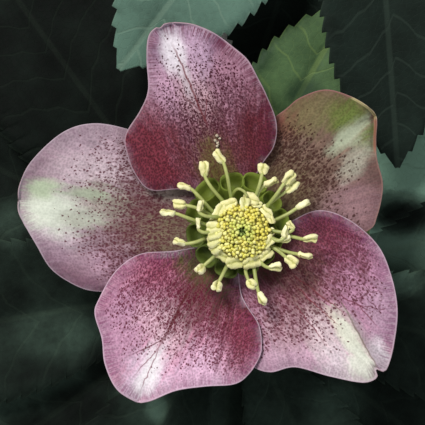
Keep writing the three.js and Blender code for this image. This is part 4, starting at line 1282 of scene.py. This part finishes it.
def addHead():
    base, top = bowl["base"], head["well"]
    foot, well = base + head["foot"], base + head["wellFloor"]
    reach = np.linspace(head["radius"] - 0.5, top + 0.25, 8)
    dome = [(r, base + headHeight(r) - 0.12) for r in reach]
    profile = [(0, foot), (2.4, foot), (2.8, foot + 0.3), (3.3, base + 8.2), (4.7, base + 9.4),
               (5.3, base + 10.2), *dome, (top, base + 12.6), (top - 0.1, well + 0.3), (top - 0.5, well),
               (0, well)]
    points, faces = turned(profile, head["sides"], head["centre"])
    material = speckledSkin("headCoreSkin", (84, 86, 24), (150, 134, 40), (1500, 3, 0.6), 0.6, 0.0003)
    keep(addMesh("stamenHead", points, faces, material), "stamens")

    cx, cy = head["centre"]
    centre = [c / perMetre for c in (bloomAxis.x + cx, bloomAxis.y + cy, base)]
    sizes = {"Inner": head["well"], "Outer": head["grainReach"], "Radius": head["radius"], "Rim": head["rim"],
             "Rise": head["top"] - head["rim"], "Grain": head["grainSize"]}
    sizes = {label: size / perMetre for label, size in sizes.items()}
    host = addMesh("grainHost", [(0, 0, 0)], [])
    grains = grow("youngAnthers", grainTree(), host, Count=head["grains"], Centre=centre,
                  Seed=head["seed"], Finish=grainSkin(), **sizes)
    keep(grains, "stamens")


def addStamens():
    base = bowl["base"]
    cx, cy = head["centre"]

    paths, places, turns, sizes = [], [], [], []
    half = stamen["anther"][1]
    for k, (bearing, reach, height, way, roll, width, length, stand) in enumerate(stamen["open"]):
        out, aside = bearingVectors(bearing)

        def station(distance, z, sway=0):
            return np.array([*(out * distance + aside * sway + head["centre"]), base + z])

        ahead = Vector((*(bearingVectors(way)[0] * (1 - 0.4 * stand)), 0.12 + 0.7 * stand)).normalized()
        root = station(2.6, 8.0)
        place = station(reach, height + 0.3 * stand)
        joint = place - np.array(ahead) * half * length * 0.95
        bend = station(3 + (reach - 3) * 0.5, 9 + (height - 9) * 0.75 + 0.6, 0.8 * math.sin(2.9 * k))
        lead = (joint * 0.62 + bend * 0.38) - np.array(ahead) * 0.7  # comes in along the anther
        line = pathThrough([root, bend * 0.6 + root * 0.4, lead, joint, (joint + place) / 2], 30)
        paths.append((line, tapered(line, *stamen["filament"])))
        turns.append(antherTurn(ahead, roll))
        places.append(place)
        sizes.append((width, length, 1.0))
    for bearing, reach, turn, size in stamen["rim"]:
        out, _ = bearingVectors(bearing)
        places.append([*(out * reach + head["centre"]), base + headHeight(reach) + 0.35])
        turns.append(antherTurn(Vector((*bearingVectors(bearing + turn)[0], -0.1)), 0.2))
        sizes.append((1.2 * size, size, 1.1 * size))
    line = pathThrough([(x + cx, y + cy, base + z) for x, y, z in stamen["arch"]], 30)
    paths.append((line, tapered(line, *stamen["archRadius"])))
    threads = gradedSkin("filamentSkin", "stem", stamen["look"])
    keep(addTubes("filaments", paths, 8, threads), "stamens")

    points, faces, lobe = antherSheet()
    pattern = addMesh("antherPattern", points - (bloomAxis.x, bloomAxis.y, 0), faces, None, {"lobe": lobe})
    host = addMesh("antherHost", places, [], None, {"turn": turns, "size": sizes})
    anthers = grow("anthers", scatterTree(), host, Pattern=pattern, Seed=stamen["seed"],
                   Crumple=stamen["crumple"] / perMetre, Finish=antherSkin())
    bpy.data.objects.remove(pattern)
    keep(anthers, "stamens")


# A few crumbs of pollen fallen on the top sepal.
crumbs = {"place": (-4.2, 17.0), "spread": (0.7, 1.4), "count": 11, "size": (0.16, 0.36), "seed": 5}


def addCrumbs():
    rng = np.random.default_rng(crumbs["seed"])
    spots = np.array([v.co for v in bpy.data.objects["topSepal"].data.vertices]) * perMetre
    material = speckledSkin("crumbSkin", (168, 150, 130), (216, 206, 182), (3000, 2, 0.6), 0.7, 0.00005)
    centre = np.add(bloomAxis[:2], crumbs["place"])
    paths = []
    for _ in range(crumbs["count"]):
        x, y = centre + rng.normal(0, 0.5, 2) * crumbs["spread"]
        near = np.argsort(np.hypot(spots[:, 0] - x, spots[:, 1] - y))[:6]
        size = rng.uniform(*crumbs["size"])
        middle = np.array([x - bloomAxis.x, y - bloomAxis.y, spots[near, 2].max() + size * 0.6])
        way = rng.normal(0, 1, 3)
        way *= size / np.linalg.norm(way)
        line = np.array([middle + way * share for share in (-1, -0.6, 0, 0.6, 1)])
        paths.append((line, size * np.array([0.3, 0.85, 1, 0.8, 0.3])))
    keep(addTubes("pollenCrumbs", paths, 6, material), "stamens")


def antherTurn(ahead, spin):  # the turn that lays +Y along ahead and +Z as near up as it can be
    y = ahead.normalized()
    x = y.cross(Vector((0, 0, 1))).normalized()
    z = x.cross(y)
    rotation = Matrix((x, y, z)).transposed()
    roll = Matrix.Rotation(spin, 3, "Y")
    return tuple((rotation @ roll).to_euler())


addHead()
addStamens()
addCrumbs()
print("stamens")

# The green styles in the middle of the head.
carpel = {
    # bearing, reach, height
    "styles": [(35, 0.75, 3.3), (102, 0.55, 2.5), (170, 0.85, 3.0), (238, 0.5, 3.5), (310, 0.9, 2.7)],
    "radius": (0.36, 0.26),
    "tip": (0.3, 0.32, 0.26),  # the last three radii
    "look": {"foot": (96, 124, 50), "tip": (166, 182, 96), "speck": (96, 122, 48), "span": (0.55, 1.0),
             "grain": (2200, 2, 0.5), "specks": (0.35, 0.7, 0.4), "relief": (0.00006, 0.3)},
}


def addCarpels():
    base = bowl["base"] + 9.8
    paths = []
    for bearing, reach, height in carpel["styles"]:
        out, _ = bearingVectors(bearing)
        steps = [(0.25, 0.4), (0.4 * reach + 0.2, height * 0.6), (reach, height)]
        line = pathThrough([(*(out * r + head["centre"]), base + h) for r, h in steps], 16)
        radii = tapered(line, *carpel["radius"])
        radii[-3:] = carpel["tip"]
        paths.append((line, radii))
    core = np.array([(*head["centre"], base + h) for h in (0, 0.15, 0.6, 1.3, 1.8, 2.0)])
    paths.append((core, (0.5, 0.6, 0.66, 0.7, 0.6, 0.3)))
    material = gradedSkin("carpelSkin", "stem", carpel["look"])
    keep(addTubes("carpels", paths, 10, material), "carpels")


addCarpels()
print("carpels")

# The crown: rootstock, buds and roots.
crown = {
    "centre": (64, 138, 6.8),
    "radii": (10.5, 14, 7.6),
    "bearing": 245,
    "buds": [(-7, 3, 4), (6, 5, 3.5), (1, 6.5, -4)],  # to the side, above the centre, towards the stalks
    "budSize": (2.8, 8),
    "budLook": {"foot": (132, 92, 84), "tip": (150, 158, 96), "speck": (120, 62, 70), "span": (0.2, 0.9),
                "grain": (700, 3, 0.6), "specks": (0.4, 0.7, 0.5), "relief": (0.0003, 0.4)},
    "rootBearings": (20, 48, 74, 100, 128, 160, 338),
    "rootLength": 22.9,
    "rootRadius": (1.6, 0.9),
    "rootlets": 9,
    "rootletRadius": (0.3, 0.14),
    "seed": 12,
}


def crownSkin(name, deep, light, scar):
    material, graph = newMaterial(name)
    place = graph.place()
    bark = graph.noise(place, 260, 5, 0.65)
    ring = graph.cells(place, 240, "DISTANCE_TO_EDGE", flat=False)
    color = graph.mix(bark.fade(0.3, 0.7), tone(*deep), tone(*light))
    color = graph.mix(ring.fade(0.12, 0.02) * 0.6, color, tone(*scar))
    finishMaterial(graph, color, 0.82, bark + ring, 0.0006, 0.7)
    return material


def addCrown():
    bark = crownSkin("rootstockSkin", (52, 36, 26), (104, 78, 56), (30, 21, 16))
    rootBark = crownSkin("rootSkin", (62, 44, 32), (128, 100, 72), (40, 28, 20))
    forward, aside = bearingVectors(crown["bearing"])
    centre = np.array(crown["centre"])
    rows, sides = 40, 64
    points = []
    for i in range(1, rows):
        level = math.pi * i / rows
        for j in range(sides):
            angle = 2 * math.pi * j / sides
            around = math.sin(level)
            unit = Vector((around * math.cos(angle), around * math.sin(angle), math.cos(level)))
            swell = 1
            for bulge, scale in ((0.10, 2.2), (0.05, 6), (0.02, 15)):
                swell += bulge * noise.noise(unit * scale)
            swell += 0.03 * math.sin(unit.y * 15 + 2 * noise.noise(unit * 2))  # old leaf scars ring it
            swell = min(swell, 1.06)
            x, y, z = (a * b for a, b in zip(unit, crown["radii"]))
            flat = aside * x * -1 + forward * y
            points.append((*(centre[:2] + swell * flat), max(centre[2] + swell * z, 0)))
    points = [(*centre[:2], centre[2] + crown["radii"][2]), *points, (*centre[:2], 0)]
    faces = [(face[0], *face[:0:-1]) for face in poleFaces(rows - 1, sides)]  # from the top down
    keep(addMesh("rootstock", points, faces, bark), "crown")

    # buds wrapped in pointed scales
    rows, sides = 18, 24
    width, height = crown["budSize"]
    points, faces, growth = [], [], []
    for k, (across, up, ahead) in enumerate(crown["buds"]):
        foot = centre + np.array([*(aside * across + forward * ahead), up])
        lean = np.array([*(forward * 0.7), 0.9])
        lean /= np.linalg.norm(lean)
        u = np.cross(lean, (0, 0, 1))
        u /= np.linalg.norm(u)
        v = np.cross(lean, u)
        start = len(points)
        for i in range(rows + 1):
            t = i / rows
            for j in range(sides):
                angle = 2 * math.pi * j / sides
                scale = (1.5 * angle / math.pi + 1.2 * t + 0.37 * k) % 1
                r = width * (1 - t**1.7) ** 0.8 * (1 + 0.10 * scale)
                middle = foot + lean * ((t - 0.5) * height)
                points.append(middle + u * r * math.cos(angle) + v * r * math.sin(angle))
                growth.append((t, 0, 0))
        faces += ringFaces(rows + 1, sides, start)
        faces.append(tuple(reversed(range(start, start + sides))))
    material = gradedSkin("budSkin", "bud", crown["budLook"])
    keep(addMesh("crownBuds", points, faces, material, {"bud": growth}), "crown")

    rng = np.random.default_rng(crown["seed"])
    paths = []
    for k, bearing in enumerate(crown["rootBearings"]):
        out, across = bearingVectors(bearing)
        length = crown["rootLength"] * (1 + 0.22 * math.sin(2.7 * k))

        def station(reach, height, sway):
            return np.array([*(out * reach + across * sway + centre[:2]), height])

        knots = [(4, 5.6), (length * 0.35, 5.0), (length * 0.62, 4.2), (length * 0.82, 2.8),
                 (length - 0.4, 1.5)]
        line = pathThrough([station(r, h, 0.7 * math.sin(r / 3 + 2 * k)) for r, h in knots], 36)
        radii = tapered(line, *crown["rootRadius"]) * (1 + 0.09 * np.sin(np.linspace(0, 40, len(line)) + k))
        radii[-1] = 0.25
        paths.append((line, radii))
        for _ in range(crown["rootlets"]):
            at = line[int(rng.integers(8, 33))]
            turn = math.radians(bearing + rng.choice((-1, 1)) * rng.uniform(35, 80))
            away = np.array([math.cos(turn), math.sin(turn)])
            far = rng.uniform(2.5, 6.0)
            drop = at[2]
            steps = ((0.5, drop * 0.55), (0.85, drop * 0.2 + 0.25), (1, 0.25))
            thread = pathThrough([at, *((*(at[:2] + away * far * share), z) for share, z in steps)], 12)
            paths.append((thread, tapered(thread, *crown["rootletRadius"])))
    roots = addTubes("roots", paths, 10, rootBark)
    keep(roots, "crown")


addCrown()
print("crown")
